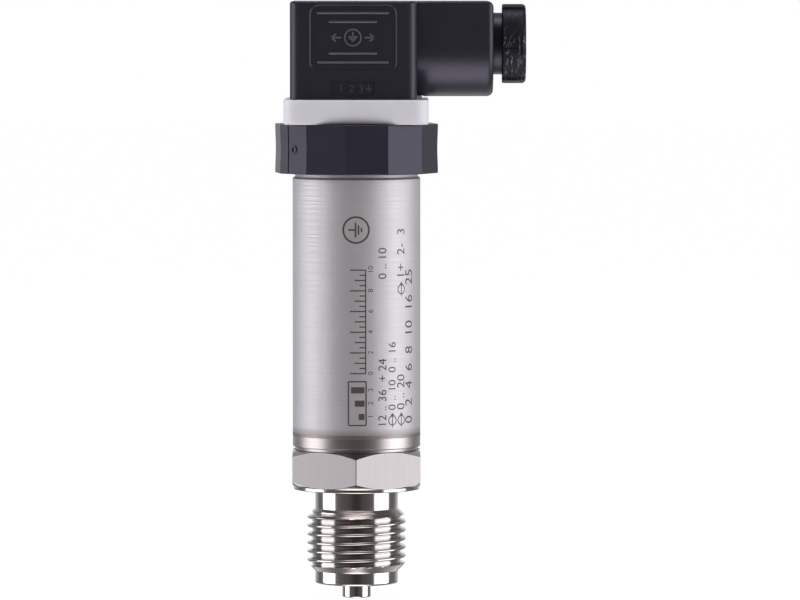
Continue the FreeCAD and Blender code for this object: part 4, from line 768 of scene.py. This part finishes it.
half_slit = RING_SLIT_WIDTH / 2 / RING_FLAT
ring_angles = []
for angle in corner_angles(RING_SIDES, RING_FLAT, RING_FIRST_CORNER, RING_EDGE, math.radians(3)):
    past_slit = (angle - RING_SLIT_ANGLE) % FULL_TURN
    if half_slit < past_slit < FULL_TURN - half_slit:
        ring_angles.append(past_slit)
ring_angles = [half_slit, *sorted(ring_angles), FULL_TURN - half_slit]
black_ring = black_moulding("black_glass_filled_polyamide", "#2C2B35", "#27262F", 0.36, 0.16, 0.005)
ring = turned("ring", ring_section, [RING_SLIT_ANGLE + angle for angle in ring_angles], joined=False)
fit(ring, black_ring, "ring", "ring_polyamide", "ring_nut")

# The gate has left a round pip near the middle of a flat, half way down
PIP_ANGLE, PIP_LEVEL, PIP_SUNK = math.radians(-141.2), 92.1, 0.06


def pip_section(angle):
    """The pip's section, a low ring with sloping sides. It is the same at each angle."""
    return rounded([(0.44, 0.0, 0), (1.02, 0.0, 0), (0.9, 0.32, 0.06), (0.52, 0.32, 0.05)], support=0.01)


pip = turned("ring_gate_pip", pip_section, even_angles(24))
outwards = Vector((math.cos(PIP_ANGLE), math.sin(PIP_ANGLE), 0))
stand = (RING_FLAT - RING_SINK - PIP_SUNK) * MM
pip.data.transform(Matrix.Translation(outwards * stand + Vector((0, 0, PIP_LEVEL * MM)))
                   @ outwards.to_track_quat("Z", "Y").to_matrix().to_4x4())
fit(pip, black_ring, "ring", "ring_polyamide")

# Profile seal.
# A flat frame of light grey elastomer between base and plug. Its tab shows beside the housing.
cover(moulded("light_grey_elastomer", "#BEBDC2", "#B1B0B5", 0.6, 0.2, 0.01), "profile_seal")

# Terminal block.
# Grey polyamide that snaps into the housing, with a stamped brass sleeve and a clamping screw for each
# contact. The screws are zinc plated.
cover(moulded("grey_moulded_polyamide", "#8B8B8E", "#808083", 0.46, 0.16, 0.006), "terminal_block")
cover(plated("stamped_brass", "#E0C88C", "#CDB274", 0.28), "contact_sleeves")
zinc_steel = plated("zinc_plated_steel", "#CBCAC4", "#B9B8B3", 0.26)
cover(zinc_steel, "terminal_screws")

# Plug housing.
# One moulding of black glass-filled polyamide, with the fine grain of a spark-eroded mould: a box over the
# terminal block and a cable barrel to the right. In front are a framed panel with four ribs and a window.
BOX_LEFT, BOX_RIGHT, BOX_HALF = -13.85, 12.8, 13.5
BOX_LOW, BOX_TOP, BOX_CORNER, BOX_TOP_EDGE, BOX_LOW_EDGE = 102.65, 123.2, 2.2, 0.6, 0.12
BARREL_START, BARREL_END, BARREL_RADIUS, BARREL_EDGE = 10.0, 28.8, 11.1, 1.3
GLAND_LEVEL = 114.2
# The panel and the window: left, bottom, right, top and corner radius
PANEL, PANEL_DEPTH, PANEL_SLOPE = (-9.45, 108.7, 8.3, 122.25, 1.9), 0.28, 0.75
WINDOW, WINDOW_DEPTH, WINDOW_SLOPE = (-5.1, 103.45, 3.9, 106.45, 0.3), 0.3, 0.2
RIB_CENTRE, RIB_LEVEL, RIB_RADIUS = -0.65, 115.6, 0.27
# Hollows of the box: left, right, half the depth, bottom, top and corner radius
CAVITY = (-11.8, 10.95, 10.95, BOX_LOW - 1, 121.2, 0.6)
SEAL_REBATE = (-12.85, 12.2, 12.25, BOX_LOW - 1, 103.3, 0.3)
TAB_NOTCH = (11.5, 14.0, 4.05, BOX_LOW - 1, 103.3, 0.1)
# Round solids and bores: radius, start and end along their axis, and the rim's chamfer
SCREW_BOSS = (4.6, 117.5, 122.0)
SCREW_RECESS = (3.2, 119.6, BOX_TOP + 0.3, 0.3)
SCREW_HOLE = (1.8, 117.0, 120.0)
WIRE_HOLE = (4.4, 6.4, 14.0)
GLAND_BORE = (7.2, 13.2, BARREL_END + 0.3, 0.3)
CORNER_STEPS, BARREL_STEPS, BORE_COLUMNS = 6, 32, 72


def rectangle(low_x, low_y, high_x, high_y, radius):
    """A rectangle's outline, with round corners, as points of a plane."""
    points = []
    for start, x, y in ((180, low_x + radius, low_y + radius), (270, high_x - radius, low_y + radius),
                        (0, high_x - radius, high_y - radius), (90, low_x + radius, high_y - radius)):
        for step in range(CORNER_STEPS + 1):
            angle = math.radians(start + 90 * step / CORNER_STEPS)
            points.append((x + radius * math.cos(angle), y + radius * math.sin(angle)))
    return points


def box_level(level, inset):
    """The box's outline at a level, drawn in by inset."""
    return [(x, y, level) for x, y in rectangle(BOX_LEFT + inset, -BOX_HALF + inset, BOX_RIGHT - inset,
                                                BOX_HALF - inset, BOX_CORNER - inset)]


def barrel_level(along, inset):
    """The barrel's outline across its own axis: round below, and square to the box's top above."""
    radius = BARREL_RADIUS - inset
    points = []
    for step in range(BARREL_STEPS + 1):
        angle = -HALF_TURN * step / BARREL_STEPS
        points.append((along, radius * math.cos(angle), GLAND_LEVEL + radius * math.sin(angle)))
    top, edge = BOX_TOP - inset, BOX_TOP_EDGE
    for side in (-1, 1):
        for step in range(5):
            share = step / 4 if side < 0 else 1 - step / 4
            angle = HALF_TURN / 2 * share
            points.append((along, side * (radius - edge + edge * math.cos(angle)),
                           top - edge + edge * math.sin(angle)))
    return points


def cylinder(name, axis, centre, radius, low, high, flare=0.0):
    """A round cutter along Z or X, which may widen at its high end to leave a chamfered rim."""
    loops = []
    for level, reach in ((low, radius), (high - 2 * flare, radius), (high, radius + 2 * flare)):
        loop = []
        for angle in even_angles(BORE_COLUMNS):
            across, up = reach * math.cos(angle), reach * math.sin(angle)
            if axis == "Z":
                loop.append((centre[0] + across, centre[1] + up, level))
            else:
                loop.append((level, centre[0] + across, centre[1] + up))
        loops.append(loop)
    return skin(name, loops, joined=False)


def box_cutter(name, low_x, high_x, half_y, low_z, high_z, radius):
    """A cutter for an upright hollow with round corners."""
    outline = rectangle(low_x, -half_y, high_x, half_y, radius)
    return skin(name, [[(x, y, level) for x, y in outline] for level in (low_z, high_z)], joined=False)


def plate(name, outline, near, far, slope):
    """A cutter in front of the housing, from a flat outline. It spreads by slope towards the far end."""
    centre_x = sum(x for x, _ in outline) / len(outline)
    centre_z = sum(z for _, z in outline) / len(outline)
    half_x = max(x for x, _ in outline) - centre_x
    half_z = max(z for _, z in outline) - centre_z
    loops = []
    for level, spread in ((near, 0.0), (far, slope)):
        loops.append([(centre_x + (x - centre_x) * (1 + spread / half_x), level,
                       centre_z + (z - centre_z) * (1 + spread / half_z)) for x, z in outline])
    return skin(name, loops, joined=False)


def combine(piece, operation, *others):
    """Joins other solids to a piece or cuts them out of it, and drops them."""
    for other in others:
        modifier = piece.modifiers.new("cut", "BOOLEAN")
        modifier.solver = "EXACT"
        modifier.operation = operation
        modifier.object = other
        keep_result(piece)
        bpy.data.objects.remove(other)


edge_turns = [math.radians(turn) for turn in (0, 15, 30, 45, 60, 75, 90)]
box_levels = [box_level(BOX_LOW, BOX_LOW_EDGE), box_level(BOX_LOW + BOX_LOW_EDGE, 0.0)]
box_levels += [box_level(BOX_TOP - BOX_TOP_EDGE * (1 - math.sin(turn)), BOX_TOP_EDGE * (1 - math.cos(turn)))
               for turn in edge_turns]
housing = skin("plug_housing_moulding", box_levels, joined=False)
barrel_levels = [barrel_level(BARREL_START, 0.0)]
barrel_levels += [barrel_level(BARREL_END - BARREL_EDGE * (1 - math.sin(turn)),
                               BARREL_EDGE * (1 - math.cos(turn))) for turn in edge_turns]
combine(housing, "UNION", skin("barrel", barrel_levels, joined=False))
combine(housing, "DIFFERENCE", box_cutter("cavity", *CAVITY), box_cutter("seal_rebate", *SEAL_REBATE),
        box_cutter("tab_notch", *TAB_NOTCH))
combine(housing, "UNION", cylinder("screw_boss", "Z", (0, 0), *SCREW_BOSS))
combine(housing, "DIFFERENCE",
        cylinder("screw_recess", "Z", (0, 0), *SCREW_RECESS),
        cylinder("screw_hole", "Z", (0, 0), *SCREW_HOLE),
        cylinder("wire_hole", "X", (0, GLAND_LEVEL), *WIRE_HOLE),
        cylinder("gland_bore", "X", (0, GLAND_LEVEL), *GLAND_BORE),
        plate("panel", rectangle(*PANEL), -BOX_HALF + PANEL_DEPTH, -BOX_HALF - 0.5, PANEL_SLOPE),
        plate("window", rectangle(*WINDOW), -BOX_HALF + WINDOW_DEPTH, -BOX_HALF - 0.3, WINDOW_SLOPE))
housing.data.shade_smooth()
housing.data.set_sharp_from_angle(angle=SHARP_ANGLE)
black_housing = black_moulding("black_eroded_polyamide", "#2B2A31", "#26252B", 0.35, 0.14, 0.005)
fit(housing, black_housing, "plug", "housing_polyamide", "plug_housing")


def raised_rib(name, level, half):
    """A rib with a half-round back, from within the panel up to the housing's face."""
    loops = []
    for degrees in (0, 20, 40, 60, 75, 85):
        turn = math.radians(degrees)
        inset = RIB_RADIUS * (1 - math.cos(turn))
        face = -BOX_HALF + PANEL_DEPTH - RIB_RADIUS * math.sin(turn)
        width = RIB_RADIUS - inset
        loops.append([(x, face, z) for x, z in rectangle(RIB_CENTRE - half + inset, level - width,
                                                         RIB_CENTRE + half - inset, level + width, width)])
    return skin(name, loops, joined=False)


# The backs of the ribs are painted lighter than the housing: painted highlight on their rounded backs
rib_painted_highlight = moulded("rib_painted_highlight_polyamide", "#55545B", "#45444B", 0.33, 0.3, 0.01)
for number, (off_centre, half) in enumerate(((5.15, 7.55), (3.3, 5.1), (-3.3, 5.1), (-5.15, 7.55))):
    fit(raised_rib(f"panel_rib_{number + 1}", RIB_LEVEL + off_centre, half), rib_painted_highlight, "plug",
        "housing_polyamide")

# Raised signs on the housing: an earth sign in a ring between two arrows on the panel, and the contact
# numbers in the window. The mould is eroded more coarsely for them, and they are painted lighter: painted
# highlight
SIGN_DEPTH, SIGN_SUNK, SIGN_STROKE = 0.2, 0.02, 0.34
sign_painted_highlight = moulded("coarse_eroded_sign_highlight_polyamide", "#5F5E65", "#45444B", 0.6, 0.25, 0.03)
signs = bmesh.new()
flat_ring(signs, (RIB_CENTRE, RIB_LEVEL), radius=1.7, width=SIGN_STROKE)
flat_earth_sign(signs, (RIB_CENTRE, RIB_LEVEL + 0.15), size=2.1, width=SIGN_STROKE)
for side in (-1, 1):
    flat_arrow(signs, (RIB_CENTRE + side * 2.4, RIB_LEVEL), (RIB_CENTRE + side * 4.6, RIB_LEVEL),
               SIGN_STROKE)


def on_floor(recess_depth):
    """Gives the function that puts flat signs on the floor of a recess in the housing's front."""
    return lambda along, up, out: (along, -BOX_HALF + recess_depth + SIGN_SUNK - out, up)


fit(finish_flat("panel_sign", signs, SIGN_DEPTH, on_floor(PANEL_DEPTH)), sign_painted_highlight, "plug",
    "housing_polyamide")
signs = bmesh.new()
for words, along in (("1", -3.6), ("2", -1.5), ("3", 0.5)):
    flat_number(signs, words, (along, 104.2), height=1.5)
flat_earth_sign(signs, (2.7, 105.0), size=1.5, width=0.2)
# Painted highlight: the window's signs are painted lighter than the housing as well
window_sign_painted_highlight = moulded("eroded_polyamide", "#4B4A51", "#39383E", 0.5, 0.25, 0.02)
fit(finish_flat("window_signs", signs, SIGN_DEPTH, on_floor(WINDOW_DEPTH)), window_sign_painted_highlight, "plug",
    "housing_polyamide")

# Cable gland.
# A rubber grommet and a nylon washer lie in the barrel. The nut has a threaded shank, a plain neck and a head
# with six notches, moulded in black polyamide, and squeezes the grommet on the cable.
GLAND_THREAD = {"Pitch": 1.5, "Crest": 7.15, "Root": 6.35, "Start": 0.4, "End": 7.8,
                "Start Radius": 6.6, "End Radius": 6.5, "First Crest": 0.0}
GLAND_THREAD_ROWS = 60
NUT_START, NUT_RADIUS, NUT_NECK_RADIUS = 20.5, 6.6, 6.5
HEAD_START, HEAD_END, HEAD_RADIUS, HEAD_BORE, HEAD_FUNNEL = 10.2, 15.2, 8.35, 4.5, 0.9
NOTCHES, NOTCH_HALF, NOTCH_DEPTH = 6, 1.05, 0.4
FIRST_NOTCH = math.radians(-90)


def nut_angles():
    """Angles round the head, with one on each side of every notch's two walls."""
    angles = []
    for notch in range(NOTCHES):
        middle = FIRST_NOTCH + notch * FULL_TURN / NOTCHES
        wall = NOTCH_HALF / HEAD_RADIUS
        for offset in (-wall - 0.012, -wall - 0.004, -wall + 0.012, -wall / 2, 0, wall / 2, wall - 0.012,
                       wall + 0.004, wall + 0.012):
            angles.append(middle + offset)
        for step in range(1, 12):
            angles.append(middle + wall + 0.02 + (FULL_TURN / NOTCHES - 2 * wall - 0.04) * step / 12)
    return angles


def nut_section(angle):
    """The nut's section at an angle: shank, neck and head, with the wall lower in a notch."""
    past = (angle - FIRST_NOTCH + HALF_TURN / NOTCHES) % (FULL_TURN / NOTCHES) - HALF_TURN / NOTCHES
    notched = abs(past) < NOTCH_HALF / HEAD_RADIUS
    head = HEAD_RADIUS - (NOTCH_DEPTH if notched else 0.0)
    return rounded([(HEAD_BORE, 0.0, 0.3), (NUT_RADIUS, 0.0, 0.15),
                    *thread_blank(NUT_NECK_RADIUS, GLAND_THREAD["Start"], GLAND_THREAD["End"],
                                  GLAND_THREAD_ROWS),
                    (NUT_NECK_RADIUS, HEAD_START, 0.15), (head, HEAD_START, 0.3), (head, HEAD_END, 0.8),
                    (HEAD_BORE + HEAD_FUNNEL, HEAD_END, 0.2), (HEAD_BORE, HEAD_END - HEAD_FUNNEL, 0.2)])


black_nut = black_moulding("black_moulded_polyamide", "#232228", "#1D1C21", 0.38, 0.18, 0.006)
# Spanners have scuffed the head. It shines less than the neck, and short pale scuff streaks follow it round.
# The streaks are painted strongest on its lower half, which faces the bright paper: painted highlight on the
# wear
worn_and_sheened_nut = black_moulding("scuffed_and_sheened_polyamide", "#232228", "#1D1C21", 0.38, 0.18, 0.006)
nut_tree = worn_and_sheened_nut.node_tree
nut_shader = nut_tree.nodes["Principled BSDF"]
nut_shader.inputs["Specular IOR Level"].default_value = 0.14
nut_place = add_node(nut_tree, "ShaderNodeTexCoord").outputs["Object"]
streaks = add_node(nut_tree, "ShaderNodeMapping", {"Scale": (1 / 0.5, 1 / 1.6, 1 / 1.6)}, {0: nut_place})
worn = add_node(nut_tree, "ShaderNodeTexNoise", {"Scale": 1 / MM, "Detail": 6.0, "Roughness": 0.7},
                {"Vector": streaks.outputs[0]}).outputs[0]
scuffs = add_node(nut_tree, "ShaderNodeMapRange", {"From Min": 0.53, "From Max": 0.7, "To Max": 0.85},
                  {"Value": worn}).outputs[0]
nut_height = add_node(nut_tree, "ShaderNodeSeparateXYZ", {}, {0: nut_place}).outputs[2]
# Painted highlight: the streaks are full below a height of 115 mm and faint above 118 mm
wear_and_sheen_below = add_node(nut_tree, "ShaderNodeMapRange",
                  {"From Min": 118 * MM, "From Max": 115 * MM, "To Min": 0.15},
                  {"Value": nut_height}).outputs[0]
scuff_and_sheen_amount = add_node(nut_tree, "ShaderNodeMath", {"operation": "MULTIPLY"}, {0: wear_and_sheen_below, 1: scuffs}).outputs[0]
bare = nut_shader.inputs["Base Color"].links[0].from_socket
scuffs_and_sheen = add_node(nut_tree, "ShaderNodeMix", {"data_type": "RGBA", 7: linear("#96939C")},
                   {0: scuff_and_sheen_amount, 6: bare})
nut_tree.links.new(scuffs_and_sheen.outputs[2], nut_shader.inputs["Base Color"])
grain = nut_shader.inputs["Normal"].links[0].from_socket
dents = add_node(nut_tree, "ShaderNodeBump", {"Distance": 0.14 * MM},
                 {"Height": worn, "Normal": grain, "Strength": wear_and_sheen_below})
nut_tree.links.new(dents.outputs[0], nut_shader.inputs["Normal"])
nut = turned("gland_nut_moulding", nut_section, nut_angles())
cut_thread(nut, cutting_tree, GLAND_THREAD, black_nut)
nut.data.transform(Matrix.Translation((NUT_START * MM, 0, GLAND_LEVEL * MM))
                   @ Matrix.Rotation(HALF_TURN / 2, 4, "Y"))
nut.data.materials.append(worn_and_sheened_nut)
for face in nut.data.polygons:
    if face.center.x > (NUT_START + HEAD_START) * MM:
        face.material_index = 1
fit(nut, black_nut, "nut", "nut_polyamide", "gland_nut")
cover(moulded("moulded_chloroprene_rubber", "#2A292B", "#232224", 0.6, 0.14, 0.01), "cable_grommet")
cover(moulded("punched_nylon_washer", "#B4B3B6", "#A9A8AB", 0.48, 0.2, 0.006), "thrust_washer")

# Fixing screw.
# A slotted cheese-head M3 screw of zinc-plated steel, with rolled thread, sunk in the housing's boss on an
# O-ring. It holds the plug down in the base's insert.
SCREW_THREAD = {"Pitch": 0.5, "Crest": 1.5, "Root": 1.2, "Start": 99.45, "End": 110.0,
                "Start Radius": 1.1, "End Radius": 1.3, "First Crest": 0.0}
SCREW_THREAD_ROWS = 210
SCREW_END, SCREW_END_RADIUS, SCREW_BLANK_RADIUS, SHANK_RADIUS = 99.4, 1.15, 1.35, 1.5
SCREW_HEAD_LOW, SCREW_HEAD_TOP, SCREW_HEAD_RADIUS = 120.45, 122.55, 2.8
SCREW_AXIS_RADIUS = 0.3
SLOT_HALF, SLOT_DEPTH = 0.4, 1.0


def screw_section(angle):
    """The screw's section, which is the same at each angle, from its end to the top of its head."""
    return rounded([(SCREW_AXIS_RADIUS, SCREW_END, 0), (SCREW_END_RADIUS, SCREW_END, 0),
                    *thread_blank(SCREW_BLANK_RADIUS, SCREW_THREAD["Start"], SCREW_THREAD["End"],
                                  SCREW_THREAD_ROWS),
                    (SHANK_RADIUS, SCREW_THREAD["End"] + 0.1, 0), (SHANK_RADIUS, SCREW_HEAD_LOW, 0.15),
                    (SCREW_HEAD_RADIUS, SCREW_HEAD_LOW, 0.12), (SCREW_HEAD_RADIUS, SCREW_HEAD_TOP, 0.35),
                    (SCREW_AXIS_RADIUS, SCREW_HEAD_TOP, 0)])


screw = turned_solid("fixing_screw_body", screw_section, even_angles(48))
cut_thread(screw, cutting_tree, SCREW_THREAD, zinc_steel)
combine(screw, "DIFFERENCE",
        box_cutter("slot", -4.0, 4.0, SLOT_HALF, SCREW_HEAD_TOP - SLOT_DEPTH, SCREW_HEAD_TOP + 1.0, 0.02))
fit(screw, zinc_steel, "screw", "screw_steel", "fixing_screw")
cover(seal_rubber, "screw_o_ring")

# Studio.
# White paper under the object, with two tall soft boxes at its sides and a weak one above. Polished metal
# shows the room, which is dark in front and white behind.
PAPER_WHITE = "#F4F4F4"
LAMP_AIM = Vector((0, 0, 0.06))


def soft_box(name, azimuth, distance, height, width, tall, power):
    """A rectangular lamp at an azimuth from the camera's side, turned to the middle of the object."""
    lamp = bpy.data.lights.new(name, "AREA")
    lamp.shape = "RECTANGLE"
    lamp.size, lamp.size_y = width, tall
    lamp.energy = power
    stand = bpy.data.objects.new(name, lamp)
    angle = math.radians(azimuth)
    stand.location = (distance * math.sin(angle), -distance * math.cos(angle), height)
    stand.rotation_euler = (LAMP_AIM - stand.location).to_track_quat("-Z", "Y").to_euler()
    bpy.context.scene.collection.objects.link(stand)


def rays_and_sight(tree):
    """The kinds of ray, and whether the camera sees a place by itself or through glass."""
    rays = add_node(tree, "ShaderNodeLightPath").outputs
    sight = add_node(tree, "ShaderNodeMath", {"operation": "MAXIMUM"},
                     {0: rays["Is Camera Ray"], 1: rays["Is Transmission Ray"]}).outputs[0]
    return rays, sight


soft_box("left_soft_box", azimuth=-84, distance=0.6, height=0.05, width=0.485, tall=0.7, power=2.58)
soft_box("right_soft_box", azimuth=76, distance=0.6, height=0.05, width=0.55, tall=0.7, power=2.98)
soft_box("top_soft_box", azimuth=180, distance=0.05, height=0.6, width=0.3, tall=0.2, power=0.7)

FLOOR_LEVEL, FLOOR_HALF = -0.0032, 4
floor_mesh = bpy.data.meshes.new("floor")
floor_mesh.from_pydata([(x * FLOOR_HALF, y * FLOOR_HALF, FLOOR_LEVEL)
                        for x, y in ((-1, -1), (1, -1), (1, 1), (-1, 1))], [], [(0, 1, 2, 3)])
floor = bpy.data.objects.new("floor", floor_mesh)
bpy.context.scene.collection.objects.link(floor)
# The metal shows the room and the lamps down to its lowest edge, and not the near paper
floor.visible_glossy = False
paper = bpy.data.materials.new("white_paper")
paper.use_nodes = True
paper_tree = paper.node_tree
paper_tree.nodes.clear()
seen = rays_and_sight(paper_tree)[1]
matt = add_node(paper_tree, "ShaderNodeBsdfDiffuse", {"Color": linear(PAPER_WHITE)}).outputs[0]
glow = add_node(paper_tree, "ShaderNodeEmission", {"Color": (1, 1, 1, 1), "Strength": 1.065}).outputs[0]
share = add_node(paper_tree, "ShaderNodeMath", {"operation": "MULTIPLY", 1: 0.88}, {0: seen}).outputs[0]
blend = add_node(paper_tree, "ShaderNodeMixShader", {}, {0: share, 1: matt, 2: glow}).outputs[0]
add_node(paper_tree, "ShaderNodeOutputMaterial", {}, {0: blend})
floor_mesh.materials.append(paper)

# What polished metal shows of the room, as stops of (place, tone, share of green and blue): by heading, from
# in front (0) to behind (1), no brighter than a limit by height, from below (0) to above (1), and a bright
# sheet of paper below in front, by how near a direction comes to its middle
ROOM_TONES = ((0.0, 0.05, 0.84), (0.02, 0.1, 0.9), (0.15, 0.15, 0.94), (0.3, 0.24, 0.97), (0.62, 0.18, 1.0),
              (0.82, 0.18, 1.0), (0.95, 0.6, 1.0), (1.0, 1.0, 1.0))
HEIGHT_LIMIT = ((0.0, 0.3, 1.0), (0.1, 0.4, 1.0), (0.25, 1.0, 1.0), (0.31, 1.0, 1.0), (0.34, 0.2, 1.0),
                (0.43, 0.2, 1.0), (0.465, 1.0, 1.0), (0.58, 1.0, 1.0), (0.68, 0.35, 1.0))
SHEET_TONES = ((0.0, 0.0, 0.93), (0.84, 0.0, 0.93), (0.97, 3.4, 0.93))
SHEET_MIDDLE = (0, -0.39, -0.92)
AMBIENT = 0.56
world = bpy.data.worlds.new("studio")
bpy.context.scene.world = world
world.use_nodes = True
room = world.node_tree
room.nodes.clear()
direction = add_node(room, "ShaderNodeTexCoord").outputs["Generated"]
level = add_node(room, "ShaderNodeVectorMath", {"operation": "MULTIPLY", 1: (1, 1, 0)}, {0: direction})
heading = add_node(room, "ShaderNodeVectorMath", {"operation": "NORMALIZE"}, {0: level.outputs[0]})
depth = add_node(room, "ShaderNodeSeparateXYZ", {}, {0: heading.outputs[0]}).outputs[1]
forward = add_node(room, "ShaderNodeMapRange", {"From Min": -1.0, "From Max": 1.0}, {"Value": depth})
rising = add_node(room, "ShaderNodeSeparateXYZ", {}, {0: direction}).outputs[2]
upward = add_node(room, "ShaderNodeMapRange", {"From Min": -1.0, "From Max": 1.0}, {"Value": rising})
nearness = add_node(room, "ShaderNodeVectorMath", {"operation": "DOT_PRODUCT", 1: SHEET_MIDDLE},
                    {0: direction}).outputs["Value"]
scales = []
for stops, source in ((ROOM_TONES, forward.outputs[0]), (HEIGHT_LIMIT, upward.outputs[0]),
                      (SHEET_TONES, nearness)):
    scale = add_node(room, "ShaderNodeValToRGB", {}, {0: source})
    while len(scale.color_ramp.elements) < len(stops):
        scale.color_ramp.elements.new(1.0)
    for stop, (position, tone, cool) in zip(scale.color_ramp.elements, stops):
        stop.position = position
        stop.color = (tone, tone * cool, tone * cool, 1)
    scales.append(scale.outputs[0])
walls = add_node(room, "ShaderNodeMix", {"data_type": "RGBA", "blend_type": "DARKEN", 0: 1.0},
                 {6: scales[0], 7: scales[1]}).outputs[2]
room_tone = add_node(room, "ShaderNodeMix", {"data_type": "RGBA", "blend_type": "LIGHTEN", 0: 1.0},
                     {6: walls, 7: scales[2]}).outputs[2]
rays, shown = rays_and_sight(room)
fill = add_node(room, "ShaderNodeBackground", {"Color": (1, 1, 1, 1), "Strength": AMBIENT}).outputs[0]
mirror = add_node(room, "ShaderNodeBackground", {}, {"Color": room_tone}).outputs[0]
white = add_node(room, "ShaderNodeBackground", {"Color": (1, 1, 1, 1), "Strength": 1.0}).outputs[0]
inner = add_node(room, "ShaderNodeMixShader", {}, {0: rays["Is Glossy Ray"], 1: fill, 2: mirror}).outputs[0]
outer = add_node(room, "ShaderNodeMixShader", {}, {0: shown, 1: inner, 2: white}).outputs[0]
add_node(room, "ShaderNodeOutputWorld", {}, {0: outer})

# Camera.
# Far off with a long lens, a little above the plug's top and tilted down, as the photograph was taken.
CAMERA_PLACE, CAMERA_AIM = Vector((0.0092, -1.267, 0.130)), Vector((0.0092, 0, 0.060))
camera = bpy.data.cameras.new("camera")
camera.lens = 269.96
camera.sensor_width = 36
camera.clip_start, camera.clip_end = 0.05, 20
eye = bpy.data.objects.new("camera", camera)
eye.location = CAMERA_PLACE
eye.rotation_euler = (CAMERA_AIM - CAMERA_PLACE).to_track_quat("-Z", "Y").to_euler()
bpy.context.scene.collection.objects.link(eye)
bpy.context.scene.camera = eye
bpy.context.scene.view_settings.view_transform = "Standard"
